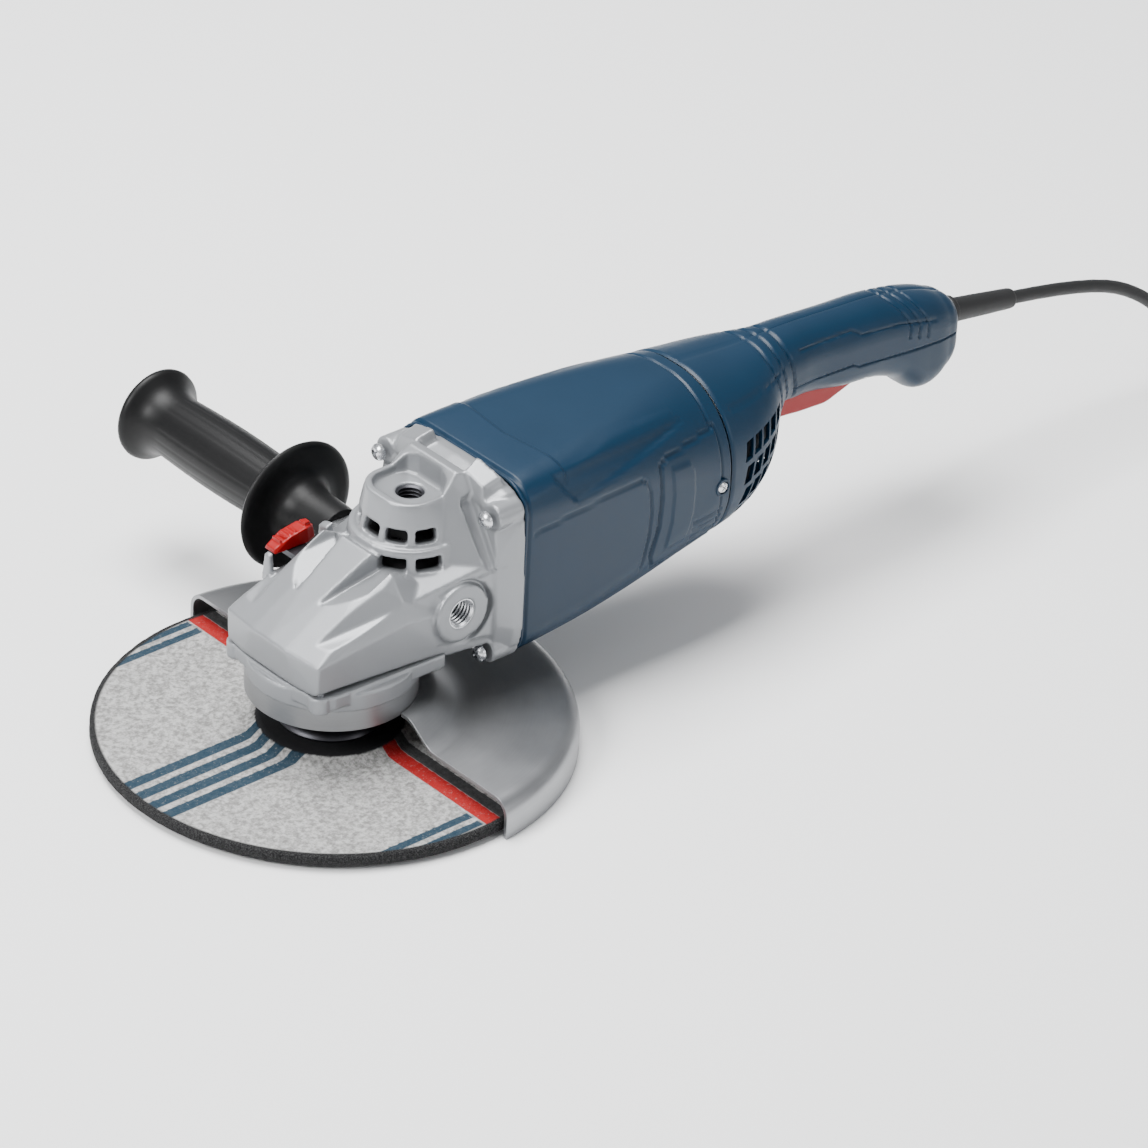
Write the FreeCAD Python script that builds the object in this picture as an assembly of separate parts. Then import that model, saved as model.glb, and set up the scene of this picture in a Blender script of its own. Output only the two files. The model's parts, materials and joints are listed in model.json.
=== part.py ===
"""Large angle grinder with a depressed-centre wheel, as an assembly of its separate pieces.

Tool frame used below: the spindle stands on the Z axis, the motor runs along +X, the side handle
points along +Y, and the floor is the plane z = 0. Each piece is moved to the row frame when it is saved.
"""
import FreeCAD, Part
import math
import os

V = FreeCAD.Vector
UP = V(0, 0, 1)
ALONG = V(1, 0, 0)
ACROSS = V(0, 1, 0)

# Clearances
RUN = 0.05            # radial running fit of a shaft, ring or pin that turns
SLIDE = 0.1           # radial clearance of a sliding pin
GAP = 0.3             # gap between parts that must not touch

# Wheel
WHEEL_R = 115.0
WHEEL_T = 6.0
WHEEL_Z = 2.1         # underside of the wheel above the floor
BORE_R = 11.115
HUB_RISE = 4.6        # how far the depressed centre stands up
HUB_R = 34.0          # flat top of the hub
HUB_SLOPE = 8.0

# Guard
GUARD_REACH = 4.0     # the guard's rim stands this far outside the wheel
GUARD_R = WHEEL_R + GUARD_REACH
SHEET = 2.0
GUARD_TOP = 20.2      # outer face of the flat cover
GUARD_EDGE = 9.0      # the cover starts this far behind the spindle
GUARD_FILLET = 8.0
COLLAR_R = 41.6
COLLAR_WALL = 3.0
COLLAR_Z = 29.5
COLLAR_H = 14.0
LEDGE_W = 6.4         # flat ring of the hood beside the collar
CONE_W = 14.0         # width of the slope from there down to the flat cover
LUG_REACH = 10.5
LUG_T = 5.0
LUG_SPLIT = 3.0
CLAMP_R = 2.5         # guard clamp screw, M5

# Gear head
FLANGE_Z = 44.0       # underside of the bearing flange's plate
FLANGE_T = 8.0
FLANGE_RIM = 0.4      # the flange's round rim stands this far outside the collar
NECK_R = COLLAR_R - COLLAR_WALL - RUN
FRONT_EAR = (-32.5, 30.5)
REAR_EAR = (34.0, 32.5)
EAR_R = 5.4
EAR_SCREW_R = 2.0
NOSE_X = -37.0
NOSE_W = 33.5
NOSE_EDGE = 69.5      # height of the nose's top edge at its front
CREST_X = 12.0
CREST_Z = 102.0
CREST_W = 12.5
TERRACE_Z = 89.0      # roof behind the crest, in front of the tower
HEAD_WALL = 2.6
SOCKET_X = 45.0
SOCKET_Z = 72.0
BOSS_Y = 41.0
BOSS_R = 15.0
TOWER_TOP = 124.0
TOWER_R = 20.0
TOWER_BASE_R = 31.0
TOWER_BASE_Z = 86.0
M14_R = 7.0
SOCKET_DEPTH = 16.0
JOINT_X = 86.0        # gear housing meets the motor housing
JOINT_HALF = 46.0
JOINT_LOW = 33.5
JOINT_HIGH = 126.0
JOINT_CORNER = 14.0
JOINT_T = 24.0        # depth of the gear housing's rear collar
HEAD_SCREW_Y = 39.4
HEAD_SCREW_LOW = 44.0
HEAD_SCREW_HIGH = 118.0
HEAD_SCREW_R = 2.5
HEAD_SCREW_CAP = 4.4

# Gears
MOTOR_Z = 80.0
MODULE = 1.4
CROWN_TEETH = 38
PINION_TEETH = 10
FACE_W = 8.0
RIM_R = 31.0
RIM_Z = 63.8
RIM_T = 3.2
NOTCHES = 12

# Spindle and its bearings
SPINDLE_R = 7.0
SEAT_R = 8.5
LOWER_BEARING_R = 20.0
LOWER_BEARING_H = 12.0
LOWER_BEARING_Z = 34.0
TOP_PIN_R = 5.0
BUSH_R = 8.0
BUSH_Z = 80.0
BUSH_H = 6.5
SPINDLE_END = 1.0

# Spindle lock
LOCK_ANGLE = math.radians(81.0)
LOCK_PITCH = 29.8
LOCK_R = 2.5
POCKET_Z = 79.0

# Motor
SHAFT_R = 6.0
REAR_SHAFT_R = 5.0
FRONT_BEARING_X = 44.0
FRONT_BEARING_W = 10.0
FRONT_BEARING_R = 16.0
REAR_BEARING_X = 214.0
REAR_BEARING_W = 8.0
REAR_BEARING_R = 13.0
CUP_WALL = 2.0
BRIDGE_X = 65.0          # the collar's front wall ends here
BRIDGE_T = 4.0
BRIDGE_R = 38.0
BRIDGE_HUB_R = 19.0
AIR_WAY_Y = 14.0
FAN_X = 71.0
FAN_W = 12.0
FAN_R = 36.0
FAN_BLADES = 12
STACK_X = 115.0
STACK_L = 63.0
CORE_R = 24.0
STATOR_BORE = 24.6
STATOR_R = 39.0
STATOR_FLAT = 36.0
COIL_OVERHANG = 11.0
COMMUTATOR_X = 190.0
COMMUTATOR_L = 16.0
COMMUTATOR_R = 15.0
BRUSH_X = 198.0
BRUSH_W = 6.3
BRUSH_H = 14.0

# Motor housing
SEAM_X = 211.6
HOUSE_W = 47.0
HOUSE_LOW = 37.0
HOUSE_HIGH = 131.5
SEAM_R = 46.5
SEAM_LOW = 42.0
SEAM_HIGH = 133.0
SEAM_CORNER = 43.0
WALL = 3.0
COVER_X = 170.0
COVER_LOW = 60.0
COVER_HIGH = 104.0
COVER_T = 1.6

# Rear handle and trigger
TAIL_X = 398.5
TRIGGER_X = 276.0
TRIGGER_W = 8.0
TRIGGER_PIN_X = 332.0
TRIGGER_PIN_Z = 90.0
TRIGGER_PIN_R = 1.5

# Side handle
GRIP_R = 16.5
DISC_Y = 82.0
DISC_R = 33.4
DISC_T = 4.0
KNOB_Y = 194.5
KNOB_R = 24.0
STUD_COLLAR_R = 11.0

# Cord
CORD_R = 3.5
SLEEVE_R = 6.3
SLEEVE_TIP_R = 5.0
SLEEVE_L = 48.5
SLEEVE_Z = 98.2
TIE_T = 1.2
TIE_W = 14.0
COIL_MEAN = 38.5
COIL_ACROSS = 3       # turns side by side, and as many on top of each other
PLUG_L = 44.0
PLUG_W = 18.0
PLUG_H = 12.0
PIN_R = 2.4
PIN_L = 19.0

# The row's origin: the middle of the box round everything but the cord
LEFT = -WHEEL_R
RIGHT = TAIL_X
NEAR = -GUARD_R
FAR = KNOB_Y
ORIGIN = V((LEFT + RIGHT) / 2, (NEAR + FAR) / 2, 0)


def save(name, shape):
    """Move a piece from the tool frame to the row frame and write it."""
    if isinstance(shape, list):
        shape = Part.makeCompound(shape)
    for solid in shape.Solids:
        if not solid.isValid():
            raise ValueError("bad solid in " + name)
    print(f"{name:24s} {len(shape.Solids)} solids {shape.Volume / 1000:8.2f} cm3")
    moved = shape.copy()
    moved.translate(V(-ORIGIN.x, -ORIGIN.y, 0))
    moved.exportStep(f"parts/{name}.step")


# ---------------------------------------------------------------- shape helpers

def box(x0, x1, y0, y1, z0, z1):
    return Part.makeBox(x1 - x0, y1 - y0, z1 - z0, V(x0, y0, z0))


def rod(radius, length, base, direction=UP):
    return Part.makeCylinder(radius, length, base, direction)


def tube(outer, inner, length, base, direction=UP):
    return rod(outer, length, base, direction).cut(rod(inner, length, base, direction))


def turned(profile):
    """Solid of revolution about the spindle axis from (radius, height) points."""
    points = [V(r, 0, z) for r, z in profile]
    face = Part.Face(Part.makePolygon(points + points[:1]))
    return face.revolve(V(0, 0, 0), UP, 360)


def turned_along(profile):
    """Solid of revolution about the motor axis from (place along X, radius) points."""
    points = [V(x, 0, MOTOR_Z + r) for x, r in profile]
    face = Part.Face(Part.makePolygon(points + points[:1]))
    return face.revolve(V(0, 0, MOTOR_Z), ALONG, 360)


def turned_across(profile, x, z):
    """Solid of revolution about an axis along +Y from (place along Y, radius) points."""
    points = [V(x + r, y, z) for y, r in profile]
    face = Part.Face(Part.makePolygon(points + points[:1]))
    return face.revolve(V(x, 0, z), ACROSS, 360)


def section(x, half, low, high, corner):
    """Closed outline with rounded corners in a plane across the motor axis."""
    corner = min(corner, half - 0.5, (high - low) / 2 - 0.5)
    sides = [(1, 1), (-1, 1), (-1, -1), (1, -1)]
    edges = []
    ends = []
    for sy, sz in sides:
        cy = sy * (half - corner)
        cz = high - corner if sz > 0 else low + corner
        on_side = V(x, cy + sy * corner, cz)
        on_cap = V(x, cy, cz + sz * corner)
        middle = V(x, cy + sy * corner * math.sqrt(0.5), cz + sz * corner * math.sqrt(0.5))
        first, last = (on_side, on_cap) if sy * sz > 0 else (on_cap, on_side)
        ends.append((first, last))
        edges.append(Part.Arc(first, middle, last).toShape())
    joined = []
    for i in range(4):
        joined.append(edges[i])
        joined.append(Part.LineSegment(ends[i][1], ends[(i + 1) % 4][0]).toShape())
    return Part.Wire(joined)


def polygon_at(x, points):
    """Closed outline through (y, z) points in a plane across the motor axis."""
    corners = [V(x, y, z) for y, z in points]
    return Part.makePolygon(corners + corners[:1])


def loft(wires, ruled=False):
    return Part.makeLoft(wires, True, ruled)


def fused(first, *others):
    return first.fuse(list(others)).removeSplitter()


def cut(shape, *tools):
    return shape.cut(list(tools))


def turned_by(shape, degrees, centre=V(0, 0, 0), axis=UP):
    copy = shape.copy()
    copy.rotate(centre, axis, degrees)
    return copy


def ring_of(shape, count, centre=V(0, 0, 0), axis=UP):
    return [turned_by(shape, 360.0 * i / count, centre, axis) for i in range(count)]


def mirror_pair(shape):
    return [shape, mirrored(shape)]


def mirrored(shape):
    """The same piece on the other side of the tool."""
    return shape.mirror(V(0, 0, 0), ACROSS)


def screw(tip, direction, shank, length, head, head_h):
    """Pan-head screw from its tip to its head; direction points from the tip to the head."""
    body = rod(shank, length, tip, direction)
    seat = tip + direction * length
    cap = rod(head, head_h, seat, direction)
    drive = rod(head * 0.4, head_h * 0.6, seat + direction * (head_h * 0.4), direction)
    return body.fuse(cap).cut(drive)


# ---------------------------------------------------------------- wheel and its clamping

def grinding_wheel():
    low = WHEEL_Z
    top = WHEEL_Z + WHEEL_T
    recess = HUB_R - 4.0
    return turned([
        (BORE_R, low + HUB_RISE), (recess, low + HUB_RISE), (recess + HUB_SLOPE, low), (WHEEL_R, low),
        (WHEEL_R, top), (HUB_R + HUB_SLOPE, top), (HUB_R, top + HUB_RISE), (BORE_R, top + HUB_RISE),
    ])


def hub_top():
    return WHEEL_Z + WHEEL_T + HUB_RISE


FLANGE_DISC_T = 5.0
FLANGE_DISC_R = 21.0
NUT_R = 19.0


def inner_flange():
    spigot = BORE_R - SLIDE
    top = hub_top()
    return turned([
        (SPINDLE_R, top - 3.0), (spigot, top - 3.0), (spigot, top), (FLANGE_DISC_R, top),
        (FLANGE_DISC_R, top + 2.5), (14.0, top + FLANGE_DISC_T), (SPINDLE_R, top + FLANGE_DISC_T),
    ])


def clamping_nut():
    top = WHEEL_Z + HUB_RISE
    body = tube(NUT_R, SPINDLE_R, top - SPINDLE_END, V(0, 0, SPINDLE_END))
    holes = ring_of(rod(2.0, 3.0, V(13.0, 0, SPINDLE_END)), 4)
    return cut(body, *holes)


def spindle():
    shoulder = hub_top() + FLANGE_DISC_T
    bearing_top = LOWER_BEARING_Z + LOWER_BEARING_H
    return turned([
        (0, SPINDLE_END), (SPINDLE_R, SPINDLE_END), (SPINDLE_R, shoulder), (10.0, shoulder),
        (10.0, LOWER_BEARING_Z), (SEAT_R, LOWER_BEARING_Z), (SEAT_R, bearing_top), (8.0, bearing_top),
        (8.0, CROWN_HUB_TOP), (TOP_PIN_R, CROWN_HUB_TOP), (TOP_PIN_R, BUSH_Z + BUSH_H), (0, BUSH_Z + BUSH_H),
    ])


# ---------------------------------------------------------------- bevel gears

CROWN_R = MODULE * CROWN_TEETH / 2
PINION_R = MODULE * PINION_TEETH / 2
CONE = math.hypot(CROWN_R, PINION_R)
INNER_SHARE = (CONE - FACE_W) / CONE
ADDENDUM = 0.7 * MODULE
DEDENDUM = 0.95 * MODULE
PITCH_HALF = 0.60 * MODULE        # half a tooth at the pitch line, thin enough for backlash
TIP_HALF = 0.36 * MODULE
ROOT_HALF = 0.85 * MODULE
CROWN_HUB_TOP = MOTOR_Z - PINION_R - 0.5
PINION_BORE = 3.0


def outer_pitch_point(pitch_r, other_r, height):
    """Point above or below the pitch circle's outer end, square to the pitch cone, apex at the origin."""
    return V(pitch_r + height * other_r / CONE, 0, -other_r + height * pitch_r / CONE)


def bevel_teeth(count, pitch_r, other_r, first_angle):
    """All teeth of a bevel gear on the Z axis, with the pitch cone's apex at the origin."""
    outline = [(-ROOT_HALF, -DEDENDUM - 0.4), (ROOT_HALF, -DEDENDUM - 0.4), (PITCH_HALF, 0),
               (TIP_HALF, ADDENDUM), (-TIP_HALF, ADDENDUM), (-PITCH_HALF, 0)]
    wires = []
    for share in (1.0, INNER_SHARE):
        corners = [(outer_pitch_point(pitch_r, other_r, h) + ACROSS * side) * share for side, h in outline]
        wires.append(Part.makePolygon(corners + corners[:1]))
    tooth = turned_by(loft(wires, ruled=True), first_angle)
    return ring_of(tooth, count)


def crown_gear():
    outer = outer_pitch_point(CROWN_R, PINION_R, -DEDENDUM)
    inner = outer * INNER_SHARE
    bearing_top = LOWER_BEARING_Z + LOWER_BEARING_H - MOTOR_Z
    hub_top = CROWN_HUB_TOP - MOTOR_Z
    rim = RIM_Z - MOTOR_Z
    blank = turned([
        (8.0, bearing_top), (11.0, bearing_top), (14.0, rim - 6.0), (14.0, rim), (RIM_R, rim),
        (RIM_R, rim + RIM_T), (outer.x, rim + RIM_T), (outer.x, outer.z), (inner.x, inner.z),
        (16.5, hub_top), (8.0, hub_top),
    ])
    teeth = bevel_teeth(CROWN_TEETH, CROWN_R, PINION_R, 180.0 / CROWN_TEETH)
    gear = fused(blank, *teeth)
    notch = rod(LOCK_R + GAP, RIM_T + 2, V(LOCK_PITCH, 0, rim - 1))
    first = turned_by(notch, math.degrees(LOCK_ANGLE))
    gear = cut(gear, *ring_of(first, NOTCHES))
    gear.translate(V(0, 0, MOTOR_Z))
    return gear


def pinion():
    outer = outer_pitch_point(PINION_R, CROWN_R, -DEDENDUM)
    inner = outer * INNER_SHARE
    blank = turned([
        (PINION_BORE, inner.z), (inner.x, inner.z), (outer.x, outer.z),
        (outer.x, outer.z - 5.0), (PINION_BORE, outer.z - 5.0),
    ])
    gear = fused(blank, *bevel_teeth(PINION_TEETH, PINION_R, CROWN_R, 180.0))
    gear = turned_by(gear, -90.0, V(0, 0, 0), ACROSS)
    gear.translate(V(0, 0, MOTOR_Z))
    return gear


def gear_circlip():
    ring = tube(8.0, TOP_PIN_R, 1.2, V(0, 0, CROWN_HUB_TOP))
    return ring.cut(box(4.0, 9.0, -1.5, 1.5, CROWN_HUB_TOP - 1, CROWN_HUB_TOP + 3))


def ball_bearing(outer, inner, width):
    """Deep-groove bearing on the Z axis, its shields and rings as one ring with grooves."""
    third = (outer - inner) / 3
    step = 0.6
    return turned([
        (inner, 0), (inner + third, 0), (inner + third, step), (outer - third, step), (outer - third, 0),
        (outer, 0), (outer, width), (outer - third, width), (outer - third, width - step),
        (inner + third, width - step), (inner + third, width), (inner, width),
    ])


def lower_bearing():
    ring = ball_bearing(LOWER_BEARING_R, SEAT_R + RUN, LOWER_BEARING_H)
    ring.translate(V(0, 0, LOWER_BEARING_Z))
    return ring


def along_motor(shape, x):
    """Lay a piece made on the Z axis onto the motor axis, its foot at x."""
    laid = turned_by(shape, 90.0, V(0, 0, 0), ACROSS)
    laid.translate(V(x, 0, MOTOR_Z))
    return laid


# ---------------------------------------------------------------- gear head

def nose_outline(grow, roof):
    """Sections of the pentagonal nose, shrunk by grow at the sides and lowered by roof at the top."""
    stations = [(NOSE_X, 31.0, NOSE_W, NOSE_EDGE, CREST_W, NOSE_EDGE + 1.0),
                (CREST_X, 35.0, 37.0, NOSE_EDGE + 3.5, CREST_W, CREST_Z)]
    floor = FLANGE_Z + FLANGE_T
    return [polygon_at(x, [(-foot + grow, floor), (foot - grow, floor), (side - grow, edge - roof),
                           (top - grow / 2, crest - roof), (-top + grow / 2, crest - roof),
                           (-side + grow, edge - roof)])
            for x, foot, side, edge, top, crest in stations]


def shoulder_outline(grow, roof):
    """Sections from the end of the crest back to the rear collar."""
    floor = FLANGE_Z + FLANGE_T
    collar_x = JOINT_X - JOINT_T
    stations = [(CREST_X, 35.0, floor, 37.0, NOSE_EDGE + 3.5, 20.0, TERRACE_Z),
                (SOCKET_X - 1, 37.0, floor, 39.5, 84.0, 20.0, TERRACE_Z + 3),
                (collar_x, 38.0, floor - 8, 42.0, 90.0, 24.0, TERRACE_Z + 9)]
    return [polygon_at(x, [(-foot + grow, low), (foot - grow, low), (side - grow, edge - roof),
                           (top - grow / 2, crest - roof), (-top + grow / 2, crest - roof),
                           (-side + grow, edge - roof)])
            for x, foot, low, side, edge, top, crest in stations]


def head_sockets():
    """Threaded holes for the side handle: left, right and top."""
    left = rod(M14_R, SOCKET_DEPTH, V(SOCKET_X, BOSS_Y, SOCKET_Z), V(0, -1, 0))
    top = rod(M14_R, SOCKET_DEPTH, V(SOCKET_X, 0, TOWER_TOP), V(0, 0, -1))
    return [left, mirrored(left), top]


def tower_slots():
    """Two tiers of exhaust slots round the front of the tower."""
    slots = []
    for low, width in ((94.0, 11.0), (105.5, 10.0)):
        for angle in (110, 145, 180, 215, 250):
            slot = box(SOCKET_X + 13.5, SOCKET_X + 40, -width / 2, width / 2, low, low + 6.5)
            slots.append(turned_by(slot, angle, V(SOCKET_X, 0, 0)))
    return slots


def collar_screw_places():
    return [(side * HEAD_SCREW_Y, z) for side in (1, -1) for z in (HEAD_SCREW_LOW, HEAD_SCREW_HIGH)]


def ear_places():
    return [(x, side * y) for x, y in (FRONT_EAR, REAR_EAR) for side in (1, -1)]


def lock_place(z):
    return V(LOCK_PITCH * math.cos(LOCK_ANGLE), LOCK_PITCH * math.sin(LOCK_ANGLE), z)


def tower(inset, low, high):
    """Truncated cone round the top socket, inset by a wall."""
    slope = (TOWER_BASE_R - TOWER_R) / (TOWER_TOP - TOWER_BASE_Z)
    foot = TOWER_BASE_R - inset - slope * (low - TOWER_BASE_Z)
    head = TOWER_BASE_R - inset - slope * (high - TOWER_BASE_Z)
    return Part.makeCone(foot, head, high - low, V(SOCKET_X, 0, low), UP)


def flange_rim():
    return rod(COLLAR_R + FLANGE_RIM, FLANGE_T, V(0, 0, FLANGE_Z))


def gear_housing():
    floor = FLANGE_Z + FLANGE_T
    collar_x = JOINT_X - JOINT_T
    collar = loft([section(collar_x, JOINT_HALF, JOINT_LOW, JOINT_HIGH, JOINT_CORNER),
                   section(JOINT_X, JOINT_HALF, JOINT_LOW, JOINT_HIGH, JOINT_CORNER)])
    bosses = [rod(BOSS_R, BOSS_Y - 10, V(SOCKET_X, 10, SOCKET_Z), ACROSS)]
    bosses += [mirrored(bosses[0])]
    outer = fused(loft(nose_outline(0, 0), True), loft(shoulder_outline(0, 0), True),
                  tower(0, TOWER_BASE_Z - 8, TOWER_TOP), collar,
                  box(SOCKET_X, JOINT_X, -TOWER_R, TOWER_R, 90, TOWER_TOP - 4), *bosses)

    chamber = rod(RIM_R + 1.3, CREST_Z, V(0, 0, floor))
    chamber = chamber.common(loft(nose_outline(HEAD_WALL, HEAD_WALL), True).fuse(
        loft(shoulder_outline(HEAD_WALL, HEAD_WALL), True)))
    chamber = chamber.cut(box(-13, 22, 21.5, 50, POCKET_Z - HEAD_WALL, CREST_Z))
    rear = loft(shoulder_outline(HEAD_WALL + 2.5, HEAD_WALL + 4), True)
    rear = rear.common(box(20, collar_x, -45, 45, floor, TOWER_TOP))
    cores = [rod(BOSS_R - 2, 40, V(SOCKET_X, BOSS_Y - SOCKET_DEPTH - 3, SOCKET_Z), ACROSS)]
    cores += [mirrored(cores[0])]
    rear = cut(rear, *cores)
    lantern = tower(HEAD_WALL, TOWER_BASE_Z - 4, TOWER_TOP - 13)
    lantern = lantern.cut(rod(M14_R + 4, 60, V(SOCKET_X, 0, TOWER_TOP - SOCKET_DEPTH - 4), UP))
    fan_room = rod(FAN_R + 5.5, JOINT_X - BRIDGE_X, V(BRIDGE_X, 0, MOTOR_Z), ALONG)
    hub_hole = rod(BRIDGE_HUB_R + SLIDE, BRIDGE_X - SOCKET_X, V(SOCKET_X, 0, MOTOR_Z), ALONG)
    air_way = box(SOCKET_X + M14_R + 5, BRIDGE_X, -AIR_WAY_Y, AIR_WAY_Y, MOTOR_Z + 22, MOTOR_Z + 31)
    housing = cut(outer, chamber, rear, lantern, fan_room, hub_hole, air_way)

    bush_boss = rod(BUSH_R + 3, 20, V(0, 0, BUSH_Z - 1)).common(loft(nose_outline(0, 0), True))
    pillars = [rod(EAR_R, 12, V(x, y, floor)) for x, y in ear_places()]
    housing = fused(housing, bush_boss, *[p.common(outer) for p in pillars])
    pocket = box(-10, 19, 24, 60, POCKET_Z, TOWER_TOP)
    bush_hole = rod(BUSH_R, BUSH_H, V(0, 0, BUSH_Z))
    pin_hole = rod(LOCK_R + SLIDE, 40, lock_place(60))
    threads = [rod(EAR_SCREW_R, 9, V(x, y, floor)) for x, y in ear_places()]
    screw_holes = [rod(HEAD_SCREW_R + SLIDE, 40, V(collar_x - 5, y, z), ALONG)
                   for y, z in collar_screw_places()]
    screw_holes += [rod(HEAD_SCREW_CAP + GAP, 12, V(collar_x - 12, y, z), ALONG)
                    for y, z in collar_screw_places()]
    return cut(housing, pocket, bush_hole, rod(TOP_PIN_R + 0.5, 4, V(0, 0, BUSH_Z - 2)), pin_hole,
               flange_rim(), *threads, *screw_holes, *head_sockets(), *tower_slots()).removeSplitter()


def housing_screws():
    seat = JOINT_X - JOINT_T
    return [screw(V(JOINT_X + 16, y, z), V(-1, 0, 0), HEAD_SCREW_R, JOINT_X + 16 - seat,
                  HEAD_SCREW_CAP, 3.6)
            for y, z in collar_screw_places()]


def bearing_flange():
    plate_outline = Part.makePolygon([V(x, y, FLANGE_Z) for x, y in
                                      ((-36, -33), (38, -36), (38, 36), (-36, 33), (-36, -33))])
    plate = Part.Face(plate_outline).extrude(V(0, 0, FLANGE_T))
    neck = rod(NECK_R, FLANGE_Z - COLLAR_Z + 1, V(0, 0, COLLAR_Z - 1))
    ears = [rod(EAR_R, FLANGE_T, V(x, y, FLANGE_Z)) for x, y in ear_places()]
    solid = fused(plate, neck, flange_rim(), *ears)
    seat = rod(LOWER_BEARING_R, LOWER_BEARING_H, V(0, 0, LOWER_BEARING_Z))
    above = rod(15.5, 30, V(0, 0, LOWER_BEARING_Z))
    below = rod(13.0, 10, V(0, 0, COLLAR_Z - 4))
    holes = [rod(EAR_SCREW_R + SLIDE, FLANGE_T, V(x, y, FLANGE_Z)) for x, y in ear_places()]
    sinks = [rod(4.2, 4.0, V(x, y, FLANGE_Z)) for x, y in ear_places()]
    return cut(solid, seat, rod(LOWER_BEARING_R - 2, 30, V(0, 0, LOWER_BEARING_Z)), above, below,
               *holes, *sinks)


def flange_screws():
    return [screw(V(x, y, FLANGE_Z + FLANGE_T + 8), V(0, 0, -1), EAR_SCREW_R, FLANGE_T + 4, 3.9, 2.8)
            for x, y in ear_places()]


def oil_seal():
    return tube(13.0, 10.0 + SLIDE, 4.0, V(0, 0, COLLAR_Z - 0.5))


def bearing_cover():
    """Thin ring that keeps the lower bearing in its seat from above."""
    top = LOWER_BEARING_Z + LOWER_BEARING_H
    return tube(LOWER_BEARING_R - 2, 15.0, 2.0, V(0, 0, top))


def needle_bush():
    return tube(BUSH_R, TOP_PIN_R + RUN, BUSH_H, V(0, 0, BUSH_Z))


LOCK_ARM_Z = 84.5
LOCK_ARM_T = 3.0


def lock_pin():
    """Pin that drops into the crown gear's rim, with the arm that carries the button."""
    foot = RIM_Z + RIM_T + 0.6
    pin = rod(LOCK_R, LOCK_ARM_Z - foot + 2, lock_place(foot))
    arm = box(-1, 10, 26.5, 43, LOCK_ARM_Z, LOCK_ARM_Z + LOCK_ARM_T)
    return fused(pin, arm)


def lock_button():
    low = LOCK_ARM_Z + LOCK_ARM_T
    outline = [(-8, 34), (12, 33), (17, 36), (17, 40), (12, 43), (-8, 42)]
    face = Part.Face(Part.makePolygon([V(x, y, low) for x, y in outline + outline[:1]]))
    return face.extrude(V(0, 0, 4.5))


def helix_spring(radius, wire, pitch, height, base):
    """Compression spring of round wire on the Z axis."""
    path = Part.makeHelix(pitch, height, radius)
    start = Part.Wire(Part.makeCircle(wire, V(radius, 0, 0), V(0, 1, pitch / (2 * math.pi * radius))))
    coil = Part.Wire(path.Edges).makePipeShell([start], True, True)
    coil.translate(base)
    return coil


def lock_spring():
    return helix_spring(LOCK_R + 1.2, 0.45, 1.5, LOCK_ARM_Z - POCKET_Z - 1.4, lock_place(POCKET_Z + 0.7))


# ---------------------------------------------------------------- guard

def guard_hood():
    top = GUARD_TOP
    bottom = top - SHEET
    outer = GUARD_R
    inner = outer - SHEET
    bend = GUARD_FILLET
    root_z = COLLAR_Z + 1.0
    ledge = COLLAR_R + LEDGE_W
    foot = ledge + CONE_W
    arc = []
    for degrees in (0, 30, 60, 90):
        a = math.radians(degrees)
        arc.append((outer - bend + bend * math.sin(a), top - bend + bend * math.cos(a)))
    inside = []
    for degrees in (90, 60, 30, 0):
        a = math.radians(degrees)
        small = bend - SHEET
        inside.append((inner - small + small * math.sin(a), bottom - small + small * math.cos(a)))
    profile = [(COLLAR_R, root_z), (COLLAR_R, root_z + SHEET), (ledge, root_z), (foot, top)]
    profile += arc + [(outer, 0), (inner, 0)] + inside + [(foot - 1, bottom), (ledge - 1, root_z - SHEET)]
    hood = turned(profile)
    return hood.common(box(GUARD_EDGE, GUARD_R + 1, -GUARD_R - 1, GUARD_R + 1, -1, 60))


def guard_collar():
    inner = COLLAR_R - COLLAR_WALL
    ring = tube(COLLAR_R, inner, COLLAR_H, V(0, 0, COLLAR_Z))
    reach = COLLAR_R + LUG_REACH
    half = LUG_SPLIT / 2 + LUG_T
    lugs = box(inner + 1, reach, -half, half, COLLAR_Z + 4, COLLAR_Z + COLLAR_H - 2)
    lugs = lugs.cut(rod(inner, 40, V(0, 0, COLLAR_Z)))
    split = box(inner - 2, reach + 1, -LUG_SPLIT / 2, LUG_SPLIT / 2, COLLAR_Z - 1, COLLAR_Z + COLLAR_H + 1)
    hole = rod(CLAMP_R + SLIDE, 40, clamp_point(-20), ACROSS)
    return cut(fused(ring, lugs), split, hole)


def clamp_point(y):
    return V(COLLAR_R + LUG_REACH / 2 + 0.6, y, COLLAR_Z + COLLAR_H / 2 + 1)


def guard_screw():
    half = LUG_SPLIT / 2 + LUG_T
    return screw(clamp_point(half + 5), V(0, -1, 0), CLAMP_R, 2 * half + 5, 4.2, 3.4)


def guard_nut():
    half = LUG_SPLIT / 2 + LUG_T
    corners = [clamp_point(half) + V(4.2 * math.cos(math.radians(60 * i)), 0,
                                     4.2 * math.sin(math.radians(60 * i))) for i in range(7)]
    nut = Part.Face(Part.makePolygon(corners)).extrude(V(0, 3.6, 0))
    return nut.cut(rod(CLAMP_R, 20, clamp_point(half - 5), ACROSS))


# ---------------------------------------------------------------- motor

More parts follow.
